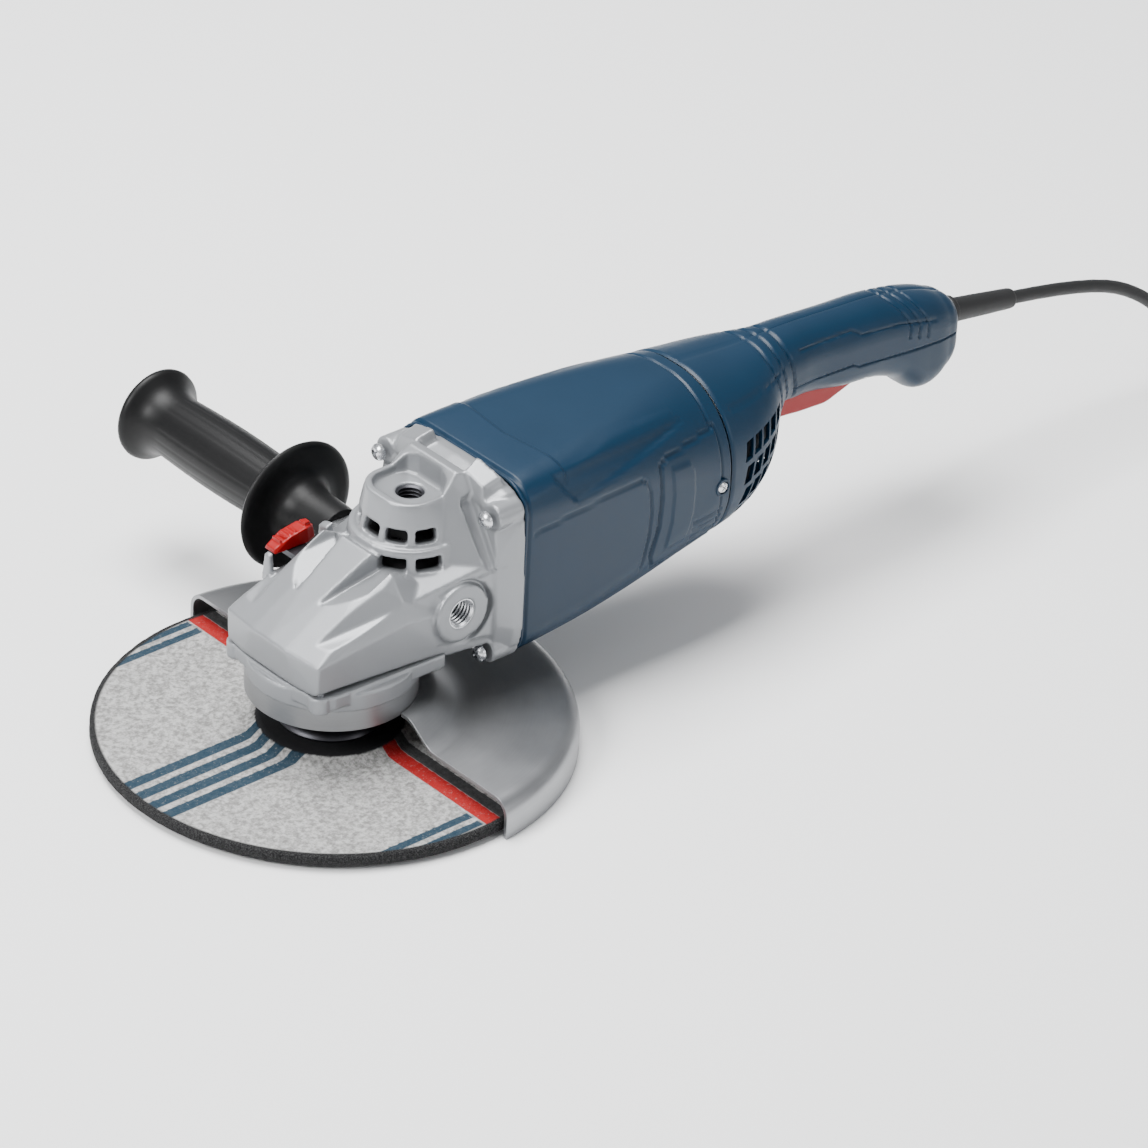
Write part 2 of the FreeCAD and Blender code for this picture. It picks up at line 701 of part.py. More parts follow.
def bearing_bridge():
    """Wall between the gears and the fan, with the seat of the front bearing."""
    plate = rod(BRIDGE_R, BRIDGE_T, V(BRIDGE_X, 0, MOTOR_Z), ALONG)
    hub_x = FRONT_BEARING_X - 2
    hub = rod(BRIDGE_HUB_R, BRIDGE_X - hub_x, V(hub_x, 0, MOTOR_Z), ALONG)
    slot = box(BRIDGE_X - 1, BRIDGE_X + BRIDGE_T + 1, -7, 7, MOTOR_Z + 22, MOTOR_Z + 34)
    body = cut(fused(plate, hub), *ring_of(slot, 6, V(0, 0, MOTOR_Z), ALONG))
    seat = rod(FRONT_BEARING_R, FRONT_BEARING_W, V(FRONT_BEARING_X, 0, MOTOR_Z), ALONG)
    way_in = rod(FRONT_BEARING_R - 2, 40, V(hub_x - 1, 0, MOTOR_Z), ALONG)
    return cut(body, seat, way_in)


def front_bearing():
    return along_motor(ball_bearing(FRONT_BEARING_R, SHAFT_R + RUN, FRONT_BEARING_W), FRONT_BEARING_X)


def rear_bearing():
    return along_motor(ball_bearing(REAR_BEARING_R, REAR_SHAFT_R + RUN, REAR_BEARING_W), REAR_BEARING_X)


def bearing_cup():
    """Rubber cup round the rear bearing."""
    start = REAR_BEARING_X
    end = start + REAR_BEARING_W
    outer = REAR_BEARING_R + CUP_WALL
    return turned_along([(start, REAR_BEARING_R), (start, outer), (end + 2, outer), (end + 2, 8.0),
                         (end, 8.0), (end, REAR_BEARING_R)])


def armature_shaft():
    start = (CONE - FACE_W) * CROWN_R / CONE
    step = CROWN_R + 6.0
    return turned_along([(start, 0), (start, PINION_BORE), (step, PINION_BORE), (step, SHAFT_R),
                         (REAR_BEARING_X - 2, SHAFT_R), (REAR_BEARING_X - 2, REAR_SHAFT_R),
                         (REAR_BEARING_X + REAR_BEARING_W - 0.5, REAR_SHAFT_R),
                         (REAR_BEARING_X + REAR_BEARING_W - 0.5, 0)])


def armature_core():
    core = tube(CORE_R, SHAFT_R, STACK_L - 4, V(0, 0, 0))
    slot = box(CORE_R - 6, CORE_R + 1, -1.1, 1.1, -1, STACK_L)
    return along_motor(cut(core, *ring_of(slot, 14)), STACK_X + 2)


def armature_winding():
    """Wound ends of the armature, in front of and behind its core."""
    front = STACK_X + 2
    back = STACK_X + STACK_L - 2
    ends = []
    for base, reach in ((front, -10.0), (back, 10.0)):
        ends.append(turned_along([(base, SHAFT_R), (base, CORE_R - 3), (base + reach * 0.6, CORE_R - 4),
                                  (base + reach, CORE_R - 9), (base + reach, SHAFT_R)]))
    return ends


def commutator():
    drum = tube(COMMUTATOR_R, SHAFT_R, COMMUTATOR_L, V(0, 0, 0))
    slot = box(COMMUTATOR_R - 1.2, COMMUTATOR_R + 1, -0.3, 0.3, -1, COMMUTATOR_L + 1)
    return along_motor(cut(drum, *ring_of(slot, 28)), COMMUTATOR_X)


def fan():
    """Radial fan with straight blades on a back plate."""
    plate = tube(FAN_R, SHAFT_R, 2.0, V(0, 0, FAN_W - 2.0))
    hub = tube(SHAFT_R + 4, SHAFT_R, FAN_W, V(0, 0, 0))
    blade = box(SHAFT_R + 6, FAN_R - 0.5, -1.0, 1.0, 0, FAN_W - 1)
    blade = turned_by(blade, 18, V(FAN_R * 0.6, 0, 0))
    return along_motor(fused(plate, hub, *ring_of(blade, FAN_BLADES)), FAN_X)


def air_baffle():
    """Ring that leads the air from the motor to the fan."""
    return tube(JOINT_HALF - 7, FAN_R - 9, 3.0, V(JOINT_X, 0, MOTOR_Z), ALONG)


def stator_core():
    ring = tube(STATOR_R, STATOR_R - 6, STACK_L, V(STACK_X, 0, MOTOR_Z), ALONG)
    shoes = tube(STATOR_BORE + 3.4, STATOR_BORE, STACK_L, V(STACK_X, 0, MOTOR_Z), ALONG)
    sides = box(STACK_X - 1, STACK_X + STACK_L + 1, -50, 50, MOTOR_Z - 13, MOTOR_Z + 13)
    shoes = shoes.cut(sides)
    necks = []
    for side in (1, -1):
        low = MOTOR_Z + side * (STATOR_BORE + 1) if side > 0 else MOTOR_Z - STATOR_R + 3
        high = MOTOR_Z + STATOR_R - 3 if side > 0 else MOTOR_Z - STATOR_BORE - 1
        necks.append(box(STACK_X, STACK_X + STACK_L, -8, 8, low, high))
    body = fused(ring, shoes, *necks)
    keep = box(STACK_X - 1, STACK_X + STACK_L + 1, -STATOR_R - 1, STATOR_R + 1,
               MOTOR_Z - STATOR_FLAT, MOTOR_Z + STATOR_FLAT)
    return body.common(keep)


def field_coil():
    """Upper field coil: a wound frame round the upper pole's neck."""
    low = MOTOR_Z + STATOR_BORE + 3.6
    high = MOTOR_Z + STATOR_R - 6.4
    outer = box(STACK_X - COIL_OVERHANG, STACK_X + STACK_L + COIL_OVERHANG, -17.0, 17.0, low, high)
    inner = box(STACK_X - 1, STACK_X + STACK_L + 1, -8.2, 8.2, low - 1, high + 1)
    ring = tube(STATOR_R - 6.2, STATOR_BORE + 3.6, 200, V(STACK_X - 40, 0, MOTOR_Z), ALONG)
    return outer.cut(inner).common(ring)


def lower_field_coil():
    return turned_by(field_coil(), 180.0, V(0, 0, MOTOR_Z), ALONG)


def body_sections(inset):
    """Outline of the motor housing, from the gear head to the handle seam."""
    stations = [(JOINT_X, HOUSE_W, HOUSE_LOW - 1.5, HOUSE_HIGH - 4.5, 18.0),
                (JOINT_X + 34, HOUSE_W, HOUSE_LOW - 1, HOUSE_HIGH - 3.0, 21.0),
                (JOINT_X + 79, HOUSE_W - 0.2, HOUSE_LOW + 1.5, HOUSE_HIGH, 30.0),
                (SEAM_X, SEAM_R, SEAM_LOW, SEAM_HIGH, SEAM_CORNER)]
    return [section(x, half - inset, low + inset, high - inset, corner - inset)
            for x, half, low, high, corner in stations]


def cover_block(gap):
    """Region of the right brush cover in the housing's side, shrunk by a gap."""
    return box(COVER_X + gap, SEAM_X - gap, -70, -30, COVER_LOW + gap, COVER_HIGH - gap)


def motor_housing():
    outer = loft(body_sections(0), True)
    inner = loft(body_sections(WALL), True)
    shell = outer.cut(inner)
    rib = box(STACK_X, STACK_X + STACK_L, STATOR_R - 1, HOUSE_W, MOTOR_Z - 4, MOTOR_Z + 4)
    rib = rib.cut(rod(STATOR_R, 200, V(JOINT_X, 0, MOTOR_Z), ALONG))
    foot = box(STACK_X, STACK_X + STACK_L, -6, 6, HOUSE_LOW, MOTOR_Z - STATOR_FLAT)
    head = box(STACK_X, STACK_X + STACK_L, -6, 6, MOTOR_Z + STATOR_FLAT, HOUSE_HIGH)
    ribs = [r.common(outer) for r in (rib, mirrored(rib), foot, head)]
    bosses = [rod(5.0, 18, V(JOINT_X, y, z), ALONG).common(outer) for y, z in collar_screw_places()]
    spider = rod(STATOR_R + 20, 4.0, V(SEAM_X - 4, 0, MOTOR_Z), ALONG).common(outer)
    windows = []
    for angle in (45, 135, 225, 315):
        window = box(SEAM_X - 6, SEAM_X + 1, 21, 34, MOTOR_Z - 9, MOTOR_Z + 9)
        windows.append(turned_by(window, angle, V(0, 0, MOTOR_Z), ALONG))
    hub_end = REAR_BEARING_X + REAR_BEARING_W + 2
    cup_r = REAR_BEARING_R + CUP_WALL
    hub = rod(cup_r + 2.5, hub_end - SEAM_X + 4, V(SEAM_X - 4, 0, MOTOR_Z), ALONG)
    shell = fused(shell, *ribs, *bosses, cut(spider, *windows), hub)
    threads = [rod(HEAD_SCREW_R, 17, V(JOINT_X - 0.5, y, z), ALONG) for y, z in collar_screw_places()]
    skin = outer.cut(loft(body_sections(COVER_T + SLIDE), True))
    recess = skin.common(cover_block(0))
    holes = [recess, mirrored(recess)]
    well = box(BRUSH_X - 6, BRUSH_X + 6, -60, -30, MOTOR_Z - 10, MOTOR_Z + 10)
    holes += [well, mirrored(well)]
    cover_hole = rod(1.6, 30, cover_screw_tip(), V(0, -1, 0))
    holes += [cover_hole, mirrored(cover_hole)]
    seat = rod(cup_r, 40, V(REAR_BEARING_X, 0, MOTOR_Z), ALONG)
    shaft_way = rod(SHAFT_R + 2, 60, V(SEAM_X - 10, 0, MOTOR_Z), ALONG)
    return cut(shell, seat, shaft_way, *threads, *holes)


def cover_screw_tip():
    return V(SEAM_X - 5.5, -36, MOTOR_Z + 16)


def brush_cover():
    outer = loft(body_sections(0), True)
    skin = outer.cut(loft(body_sections(COVER_T), True))
    panel = skin.common(cover_block(0.15))
    return panel.cut(rod(1.8, 30, cover_screw_tip(), V(0, -1, 0)))


def cover_screw():
    return screw(cover_screw_tip(), V(0, -1, 0), 1.5, 10.6, 3.0, 1.8)


def brush_holder():
    outer = box(BRUSH_X - 5.4, BRUSH_X + 5.4, COMMUTATOR_R + 2, 36, MOTOR_Z - 9.5, MOTOR_Z + 9.5)
    way = box(BRUSH_X - BRUSH_W / 2 - SLIDE, BRUSH_X + BRUSH_W / 2 + SLIDE, COMMUTATOR_R, 35,
              MOTOR_Z - BRUSH_H / 2 - SLIDE, MOTOR_Z + BRUSH_H / 2 + SLIDE)
    return outer.cut(way)


def carbon_brush():
    block = box(BRUSH_X - BRUSH_W / 2, BRUSH_X + BRUSH_W / 2, COMMUTATOR_R - 1, COMMUTATOR_R + 14,
                MOTOR_Z - BRUSH_H / 2, MOTOR_Z + BRUSH_H / 2)
    return block.cut(rod(COMMUTATOR_R + GAP, 40, V(BRUSH_X - 20, 0, MOTOR_Z), ALONG))


def brush_spring():
    start = COMMUTATOR_R + 14
    coil = helix_spring(2.3, 0.4, 1.4, 35 - start - 1.2, V(0, 0, 0))
    coil = turned_by(coil, -90.0, V(0, 0, 0), ALONG)
    coil.translate(V(BRUSH_X, start + 0.6, MOTOR_Z))
    return coil


# ---------------------------------------------------------------- rear handle and switch

def handle_sections(inset):
    """Bell behind the motor, the grip and the pommel at its end."""
    stations = [(SEAM_X, SEAM_R, SEAM_LOW, SEAM_HIGH, SEAM_CORNER),
                (SEAM_X + 14, 45.0, 44.5, 132.0, 42.0), (SEAM_X + 28, 41.5, 51.0, 131.0, 38.0),
                (SEAM_X + 40, 35.0, 62.0, 130.5, 31.0), (SEAM_X + 49, 27.0, 77.0, 130.5, 24.0),
                (SEAM_X + 58, 21.0, 88.0, 130.5, 19.0), (SEAM_X + 74, 18.5, 90.0, 130.0, 17.0),
                (SEAM_X + 108, 18.0, 84.5, 128.0, 17.0), (SEAM_X + 134, 18.5, 81.5, 125.5, 17.0),
                (TAIL_X - 42, 18.5, 77.0, 123.5, 17.0), (TAIL_X - 27, 18.0, 66.0, 120.5, 16.0),
                (TAIL_X - 12, 16.5, 70.0, 115.5, 14.0), (TAIL_X - 3, 13.0, 79.0, 110.5, 11.0),
                (TAIL_X, 10.5, 86.0, 107.0, 9.0)]
    last = len(stations) - 1
    return [section(x - (inset if i == last else 0), half - inset, low + inset, high - inset, corner - inset)
            for i, (x, half, low, high, corner) in enumerate(stations)]


HANDLE_WALL = 2.5
HANDLE_SCREWS = ((SEAM_X + 57, 117.0), (SEAM_X + 122, 117.0), (TAIL_X - 38, 113.5), (TAIL_X - 24, 76.0))


def sleeve_direction():
    drop = math.radians(9.5)
    return V(math.cos(drop), 0, -math.sin(drop))


def sleeve_point(distance):
    """Point on the bend sleeve's axis, measured from where it leaves the tail."""
    return V(TAIL_X, 0, SLEEVE_Z) + sleeve_direction() * distance


def intake_slots():
    """Air inlets in the right side of the bell: five columns of four slots."""
    slots = []
    for column in range(5):
        x = SEAM_X + 12 + 7.0 * column
        low = 56.0 + 3.5 * column
        for row in range(4):
            z = low + row * (12.6 - 0.6 * column)
            slots.append(box(x, x + 4.6, -60, -17, z, z + 10.4 - 0.6 * column))
    return slots


def handle_body():
    outer = loft(handle_sections(0), True)
    inner = loft(handle_sections(HANDLE_WALL), True)
    shell = outer.cut(inner.cut(box(0, SEAM_X + 0.01, -60, 60, 0, 200)))
    shell = shell.cut(loft(body_sections(WALL + 0.2)[-1:] + [section(SEAM_X + 10, 42.0, 47.5, 128.0, 38.0)],
                           True))
    bosses = [rod(4.6, 80, V(x, -40, z), ACROSS) for x, z in HANDLE_SCREWS]
    bosses.append(rod(4.2, 80, V(TRIGGER_PIN_X, -40, TRIGGER_PIN_Z), ACROSS).cut(
        box(TRIGGER_PIN_X - 9, TRIGGER_PIN_X + 9, -TRIGGER_W - GAP, TRIGGER_W + GAP, 70, 110)))
    bosses.append(box(SWITCH_X - 5, SWITCH_X, -16, 16, 97, 122))
    shell = fused(shell, *[b.common(outer) for b in bosses])
    slot = box(TRIGGER_X - 2, TRIGGER_PIN_X + 8, -TRIGGER_W - GAP, TRIGGER_W + GAP, 60, SWITCH_Z + 2)
    way = rod(SLEEVE_R + SLIDE, 20, sleeve_point(-8), sleeve_direction())
    groove = rod(SLEEVE_R + 2.6, 3.2, sleeve_point(-7.1), sleeve_direction())
    pin = rod(TRIGGER_PIN_R, 28, V(TRIGGER_PIN_X, -14, TRIGGER_PIN_Z), ACROSS)
    vents = intake_slots()
    clamp_room = box(TAIL_X - 34, TAIL_X - 24, -12, 12, 88, 110)
    return cut(shell, slot, way, groove, pin, clamp_room, *vents, *[mirrored(v) for v in vents])


def handle_half(side):
    low, high = (0, 80) if side > 0 else (-80, 0)
    half = handle_body().common(box(0, TAIL_X + 10, low, high, 0, 200))
    cuts = []
    for x, z in HANDLE_SCREWS:
        if side > 0:
            cuts.append(rod(1.9, 60, V(x, -1, z), ACROSS))
            cuts.append(rod(3.6, 60, V(x, 10, z), ACROSS))
        else:
            cuts.append(rod(1.7, 11, V(x, -10, z), ACROSS))
    return cut(half, *cuts)


def handle_screws():
    return [screw(V(x, -9.5, z), ACROSS, 1.7, 19.5, 3.4, 2.4) for x, z in HANDLE_SCREWS]


SWITCH_X = SEAM_X + 81.0
SWITCH_L = 30.0
SWITCH_Z = 99.0
PLUNGER_X = SEAM_X + 88.0


def switch_module():
    case = box(SWITCH_X, SWITCH_X + SWITCH_L, -10, 10, SWITCH_Z, SWITCH_Z + 17)
    terminals = [box(SWITCH_X + SWITCH_L, SWITCH_X + SWITCH_L + 4, y - 1.5, y + 1.5, SWITCH_Z + 5,
                     SWITCH_Z + 9) for y in (-5, 5)]
    return fused(case, *terminals).cut(rod(3.0 + SLIDE, 12, V(PLUNGER_X, 0, SWITCH_Z)))


def switch_plunger():
    return rod(3.0, 8.6, V(PLUNGER_X, 0, SWITCH_Z - 3.6))


def trigger():
    """Paddle under the grip, hinged at its rear end."""
    outline = [(TRIGGER_X, 81.6), (TRIGGER_X + 35, 78.6), (TRIGGER_X + 44, 84.0),
               (TRIGGER_PIN_X + 4, 86.5), (TRIGGER_PIN_X + 4, 93.0), (TRIGGER_PIN_X - 8, 94.0),
               (PLUNGER_X + 6, 95.1), (PLUNGER_X - 6, 95.1), (TRIGGER_X, 94.0)]
    face = Part.Face(Part.makePolygon([V(x, -TRIGGER_W, z) for x, z in outline + outline[:1]]))
    paddle = face.extrude(V(0, 2 * TRIGGER_W, 0))
    spring_room = box(TRIGGER_PIN_X - 6, TRIGGER_PIN_X + 6, -4.5, 4.5, 80, 100)
    pin = rod(TRIGGER_PIN_R + RUN, 40, V(TRIGGER_PIN_X, -20, TRIGGER_PIN_Z), ACROSS)
    return cut(paddle, spring_room, pin)


def trigger_pin():
    return rod(TRIGGER_PIN_R, 27.6, V(TRIGGER_PIN_X, -13.8, TRIGGER_PIN_Z), ACROSS)


def trigger_spring():
    coil = helix_spring(2.4, 0.4, 1.1, 7.0, V(0, 0, 0))
    coil = turned_by(coil, -90.0, V(0, 0, 0), ALONG)
    coil.translate(V(TRIGGER_PIN_X, -3.5, TRIGGER_PIN_Z))
    return coil


def cord_clamp():
    block = box(TAIL_X - 33.5, TAIL_X - 24.5, -11, 11, SLEEVE_Z - 1, SLEEVE_Z + 11)
    holes = [rod(1.5, 20, V(TAIL_X - 29.0, y, SLEEVE_Z - 5)) for y in (-8, 8)]
    return cut(block, rod(CORD_R, 80, sleeve_point(-60), sleeve_direction()), *holes)


def clamp_screws():
    x = TAIL_X - 29.0
    return [screw(V(x, y, SLEEVE_Z - 0.5), UP, 1.5, 11.5, 2.8, 1.6) for y in (-8, 8)]


def inner_lead():
    """Stretch of cord held inside the handle, the clamp and the sleeve."""
    return rod(CORD_R, 50 + SLEEVE_L, sleeve_point(-50), sleeve_direction())


def bend_sleeve():
    """Tapered rubber sleeve with its collar behind the handle's wall."""
    points = [(CORD_R, -7), (SLEEVE_R + 2.5, -7), (SLEEVE_R + 2.5, -4), (SLEEVE_R, -4), (SLEEVE_R, 4),
              (SLEEVE_TIP_R, SLEEVE_L), (CORD_R, SLEEVE_L)]
    sleeve = turned(points)
    sleeve = turned_by(sleeve, 99.5, V(0, 0, 0), ACROSS)
    sleeve.translate(V(TAIL_X, 0, SLEEVE_Z))
    return sleeve


# ---------------------------------------------------------------- side handle

def side_grip():
    hub_y = BOSS_Y + 8
    disc = DISC_Y + DISC_T
    body = turned_across([
        (hub_y, M14_R), (hub_y, 13.0), (DISC_Y - 4, 15.0), (DISC_Y, DISC_R - 4), (DISC_Y + 1, DISC_R),
        (disc - 1, DISC_R), (disc, DISC_R - 3), (disc + 5, 17.5), (disc + 14, GRIP_R - 0.5),
        (disc + 50, GRIP_R + 0.6), (KNOB_Y - 16, GRIP_R - 0.5), (KNOB_Y - 8, 19.5), (KNOB_Y - 4, KNOB_R),
        (KNOB_Y - 1.5, KNOB_R), (KNOB_Y, KNOB_R - 3), (KNOB_Y, 0), (DISC_Y + 22, 0), (DISC_Y + 22, M14_R),
    ], SOCKET_X, SOCKET_Z)
    return body


def side_stud():
    start = BOSS_Y - SOCKET_DEPTH + 1
    end = DISC_Y + 20
    stud = rod(M14_R, end - start, V(SOCKET_X, start, SOCKET_Z), ACROSS)
    corners = [V(SOCKET_X + STUD_COLLAR_R * math.cos(math.radians(60 * i)), BOSS_Y,
                 SOCKET_Z + STUD_COLLAR_R * math.sin(math.radians(60 * i))) for i in range(7)]
    collar = Part.Face(Part.makePolygon(corners)).extrude(V(0, 8, 0))
    return fused(stud, collar)


# ---------------------------------------------------------------- cord, coil and plug

COIL_CENTRE = V(645.0, -73.0, 0)
COIL_LOW = TIE_T
COIL_HALF = CORD_R * COIL_ACROSS
OUTER_TURN = COIL_MEAN + 2 * CORD_R
FIRST_LAYER = COIL_LOW + CORD_R


def route():
    """Centre line from the sleeve's tip down to the coil, points chosen by hand."""
    exit_point = sleeve_point(SLEEVE_L)
    entry = COIL_CENTRE + V(0, OUTER_TURN, FIRST_LAYER)
    return [exit_point, V(504, 0, 80.6), V(546, -3, 61), V(572, -10, 30), V(596, -18, 8.5),
            V(621, -26, FIRST_LAYER), entry]


def tail_route():
    """Centre line from the coil to the plug."""
    leave = COIL_CENTRE + V(0, -OUTER_TURN, FIRST_LAYER)
    rise = PLUG_H - FIRST_LAYER
    return [leave, leave + V(-28, -1.5, 1.5), leave + V(-52, 0, rise), leave + V(-74, 0, rise)]


def run_path(points):
    """Straight runs joined by tangent arcs, each as large as its two runs allow."""
    edges = []
    start = points[0]
    length = 0.0
    for before, corner, after in zip(points, points[1:], points[2:]):
        back = (before - corner).normalize()
        ahead = (after - corner).normalize()
        half_turn = (math.pi - back.getAngle(ahead)) / 2
        reach = 0.45 * min((before - corner).Length, (after - corner).Length)
        radius = reach / math.tan(half_turn)
        print(f"  turn {math.degrees(2 * half_turn):5.1f} deg, radius {radius:6.1f} mm")
        first = corner + back * reach
        last = corner + ahead * reach
        inward = (back + ahead).normalize()
        middle = corner + inward * (radius / math.cos(half_turn) - radius)
        edges.append(Part.LineSegment(start, first).toShape())
        edges.append(Part.Arc(first, middle, last).toShape())
        length += (first - start).Length + radius * 2 * half_turn
        start = last
    edges.append(Part.LineSegment(start, points[-1]).toShape())
    length += (points[-1] - start).Length
    return Part.Wire(edges), length


def cord_along(points):
    path, length = run_path(points)
    end = Part.Wire(Part.makeCircle(CORD_R, points[0], points[1] - points[0]))
    solid = path.makePipeShell([end], True, True)
    ideal = math.pi * CORD_R ** 2 * length
    print(f"  cord {length:.1f} mm long, volume {solid.Volume:.0f} of {ideal:.0f} mm3")
    outside = solid.cut(cord_coil()).Solids
    return max(outside, key=lambda part: part.Volume)


def cord_coil():
    """Outer shape of the wound length."""
    ring = tube(COIL_MEAN + COIL_HALF, COIL_MEAN - COIL_HALF, 2 * COIL_HALF, V(0, 0, COIL_LOW))
    ring.translate(COIL_CENTRE)
    turns = COIL_ACROSS ** 2 * 2 * math.pi * COIL_MEAN
    print(f"  coil holds {turns:.0f} mm")
    return ring


def coil_tie():
    """Band wrapped round the coil's turns."""
    half = COIL_HALF
    wrap = box(COIL_MEAN - half - TIE_T, COIL_MEAN + half + TIE_T, -TIE_W / 2, TIE_W / 2, 0,
               COIL_LOW + 2 * half + TIE_T)
    bundle = tube(COIL_MEAN + half, COIL_MEAN - half, 2 * half, V(0, 0, COIL_LOW))
    tie = wrap.cut(bundle)
    tie.translate(COIL_CENTRE)
    return tie


def plug_start():
    return tail_route()[-1]


def plug_body():
    """Flat two-pin moulded plug, lying on the floor."""
    start = plug_start().x
    y = plug_start().y
    stations = [(start + 0.0, 6.0, PLUG_H - 6.0, PLUG_H + 6.0, 5.5),
                (start - 14.0, 8.5, PLUG_H - 8.0, PLUG_H + 8.0, 7.5),
                (start - 26.0, PLUG_W, 0.0, 2 * PLUG_H, 10.0),
                (start - PLUG_L, PLUG_W, 0.0, 2 * PLUG_H, 10.0)]
    body = loft([section(x, half, low, high, corner) for x, half, low, high, corner in stations], True)
    body.translate(V(0, y, 0))
    return body


def plug_pins():
    face = plug_start().x - PLUG_L
    pins = []
    for offset in (-9.5, 9.5):
        base = V(face, plug_start().y + offset, PLUG_H)
        shank = rod(PIN_R, PIN_L - 2, base, V(-1, 0, 0))
        tip = Part.makeCone(PIN_R, PIN_R * 0.5, 2.0, base + V(2 - PIN_L, 0, 0), V(-1, 0, 0))
        pins.append(fused(shank, tip))
    return pins


# ---------------------------------------------------------------- write every piece

def main():
    os.makedirs("parts", exist_ok=True)
    save("grinding_wheel", grinding_wheel())
    save("inner_flange", inner_flange())
    save("clamping_nut", clamping_nut())
    save("spindle", spindle())
    save("crown_gear", crown_gear())
    save("gear_circlip", gear_circlip())
    save("pinion", pinion())
    save("gear_housing", gear_housing())
    save("housing_screws", housing_screws())
    save("bearing_flange", bearing_flange())
    save("flange_screws", flange_screws())
    save("lower_bearing", lower_bearing())
    save("bearing_cover", bearing_cover())
    save("oil_seal", oil_seal())
    save("needle_bush", needle_bush())
    save("lock_pin", lock_pin())
    save("lock_button", lock_button())
    save("lock_spring", lock_spring())
    save("guard_hood", guard_hood())
    save("guard_collar", guard_collar())
    save("guard_screw", guard_screw())
    save("guard_nut", guard_nut())
    save("bearing_bridge", bearing_bridge())
    save("front_bearing", front_bearing())
    save("rear_bearing", rear_bearing())
    save("bearing_cup", bearing_cup())
    save("armature_shaft", armature_shaft())
    save("armature_core", armature_core())
    save("armature_winding", armature_winding())
    save("commutator", commutator())
    save("fan", fan())
    save("air_baffle", air_baffle())
    save("stator_core", stator_core())
    save("upper_field_coil", field_coil())
    save("lower_field_coil", lower_field_coil())
    save("motor_housing", motor_housing())
    save("brush_holders", mirror_pair(brush_holder()))
    save("carbon_brushes", mirror_pair(carbon_brush()))
    save("brush_springs", mirror_pair(brush_spring()))
    save("brush_cover_right", brush_cover())
    save("brush_cover_left", mirrored(brush_cover()))
    save("cover_screws", mirror_pair(cover_screw()))
    save("handle_shell_left", handle_half(1))
    save("handle_shell_right", handle_half(-1))
    save("handle_screws", handle_screws())
    save("switch_module", switch_module())
    save("switch_plunger", switch_plunger())
    save("trigger", trigger())
    save("trigger_pin", trigger_pin())
    save("trigger_spring", trigger_spring())
    save("cord_clamp", cord_clamp())
    save("clamp_screws", clamp_screws())
    save("bend_sleeve", bend_sleeve())
    save("inner_lead", inner_lead())
    save("side_grip", side_grip())
    save("side_stud", side_stud())
    save("cord_tube", [cord_along(route()), cord_along(tail_route())])
    save("cord_coil", cord_coil())
    save("coil_tie", coil_tie())
    save("plug", [plug_body()] + plug_pins())


main()
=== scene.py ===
# %% [markdown]
# # A two-handed angle grinder
# The imported mechanical model is the frame: every piece made here sits where that frame says, in metres,
# and rides on one of its bodies.

# %% Load the frame
import json
import math

import bmesh
import bpy
import numpy as np
from mathutils import Matrix, Vector


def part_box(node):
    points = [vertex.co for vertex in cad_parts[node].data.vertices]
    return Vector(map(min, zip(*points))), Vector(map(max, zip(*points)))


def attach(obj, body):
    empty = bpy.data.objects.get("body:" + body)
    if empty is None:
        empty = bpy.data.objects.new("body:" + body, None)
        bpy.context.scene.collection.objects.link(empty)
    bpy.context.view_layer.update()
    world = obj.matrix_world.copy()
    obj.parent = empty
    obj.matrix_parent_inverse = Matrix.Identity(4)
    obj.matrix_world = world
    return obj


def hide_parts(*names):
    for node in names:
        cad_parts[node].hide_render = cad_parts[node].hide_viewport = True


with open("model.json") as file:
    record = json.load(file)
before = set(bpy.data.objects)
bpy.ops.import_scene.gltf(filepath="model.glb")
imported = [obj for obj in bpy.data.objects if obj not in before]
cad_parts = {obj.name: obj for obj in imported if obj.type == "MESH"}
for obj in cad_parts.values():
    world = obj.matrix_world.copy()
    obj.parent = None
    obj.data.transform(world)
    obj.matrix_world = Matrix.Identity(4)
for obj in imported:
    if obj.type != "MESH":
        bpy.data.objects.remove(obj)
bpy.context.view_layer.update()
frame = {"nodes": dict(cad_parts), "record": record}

nodes = frame["nodes"]
MM = 0.001

# %% [markdown]
# ## Where things are
# A grinder is easiest to think about from its spindle: x runs back along the motor, y to the fitted side
# handle, z up from the floor, all in millimetres. The spindle node's box gives its axis, so one small
# function turns those workshop numbers into the frame's metres.

# %% Spindle-based positions
low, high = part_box("spindle")
AXIS = Vector(((low[0] + high[0]) / 2, (low[1] + high[1]) / 2, 0))
MOTOR_Z = 80
BLUE_X, SEAM_X, TAIL_X = 78, 211.6, 398.5
print("spindle axis at", [round(v, 4) for v in AXIS])


def at(x, y, z):
    """Point given in millimetres from the spindle's foot, in the frame's metres."""
    return Vector((x * MM, y * MM, z * MM)) + AXIS


# %% [markdown]
# ## Camera
# A long lens far away flattens perspective, so long edges stay nearly parallel. The camera is placed by the angle
# it looks from, its distance and a slight roll, which is clearer than a list of matrix numbers.

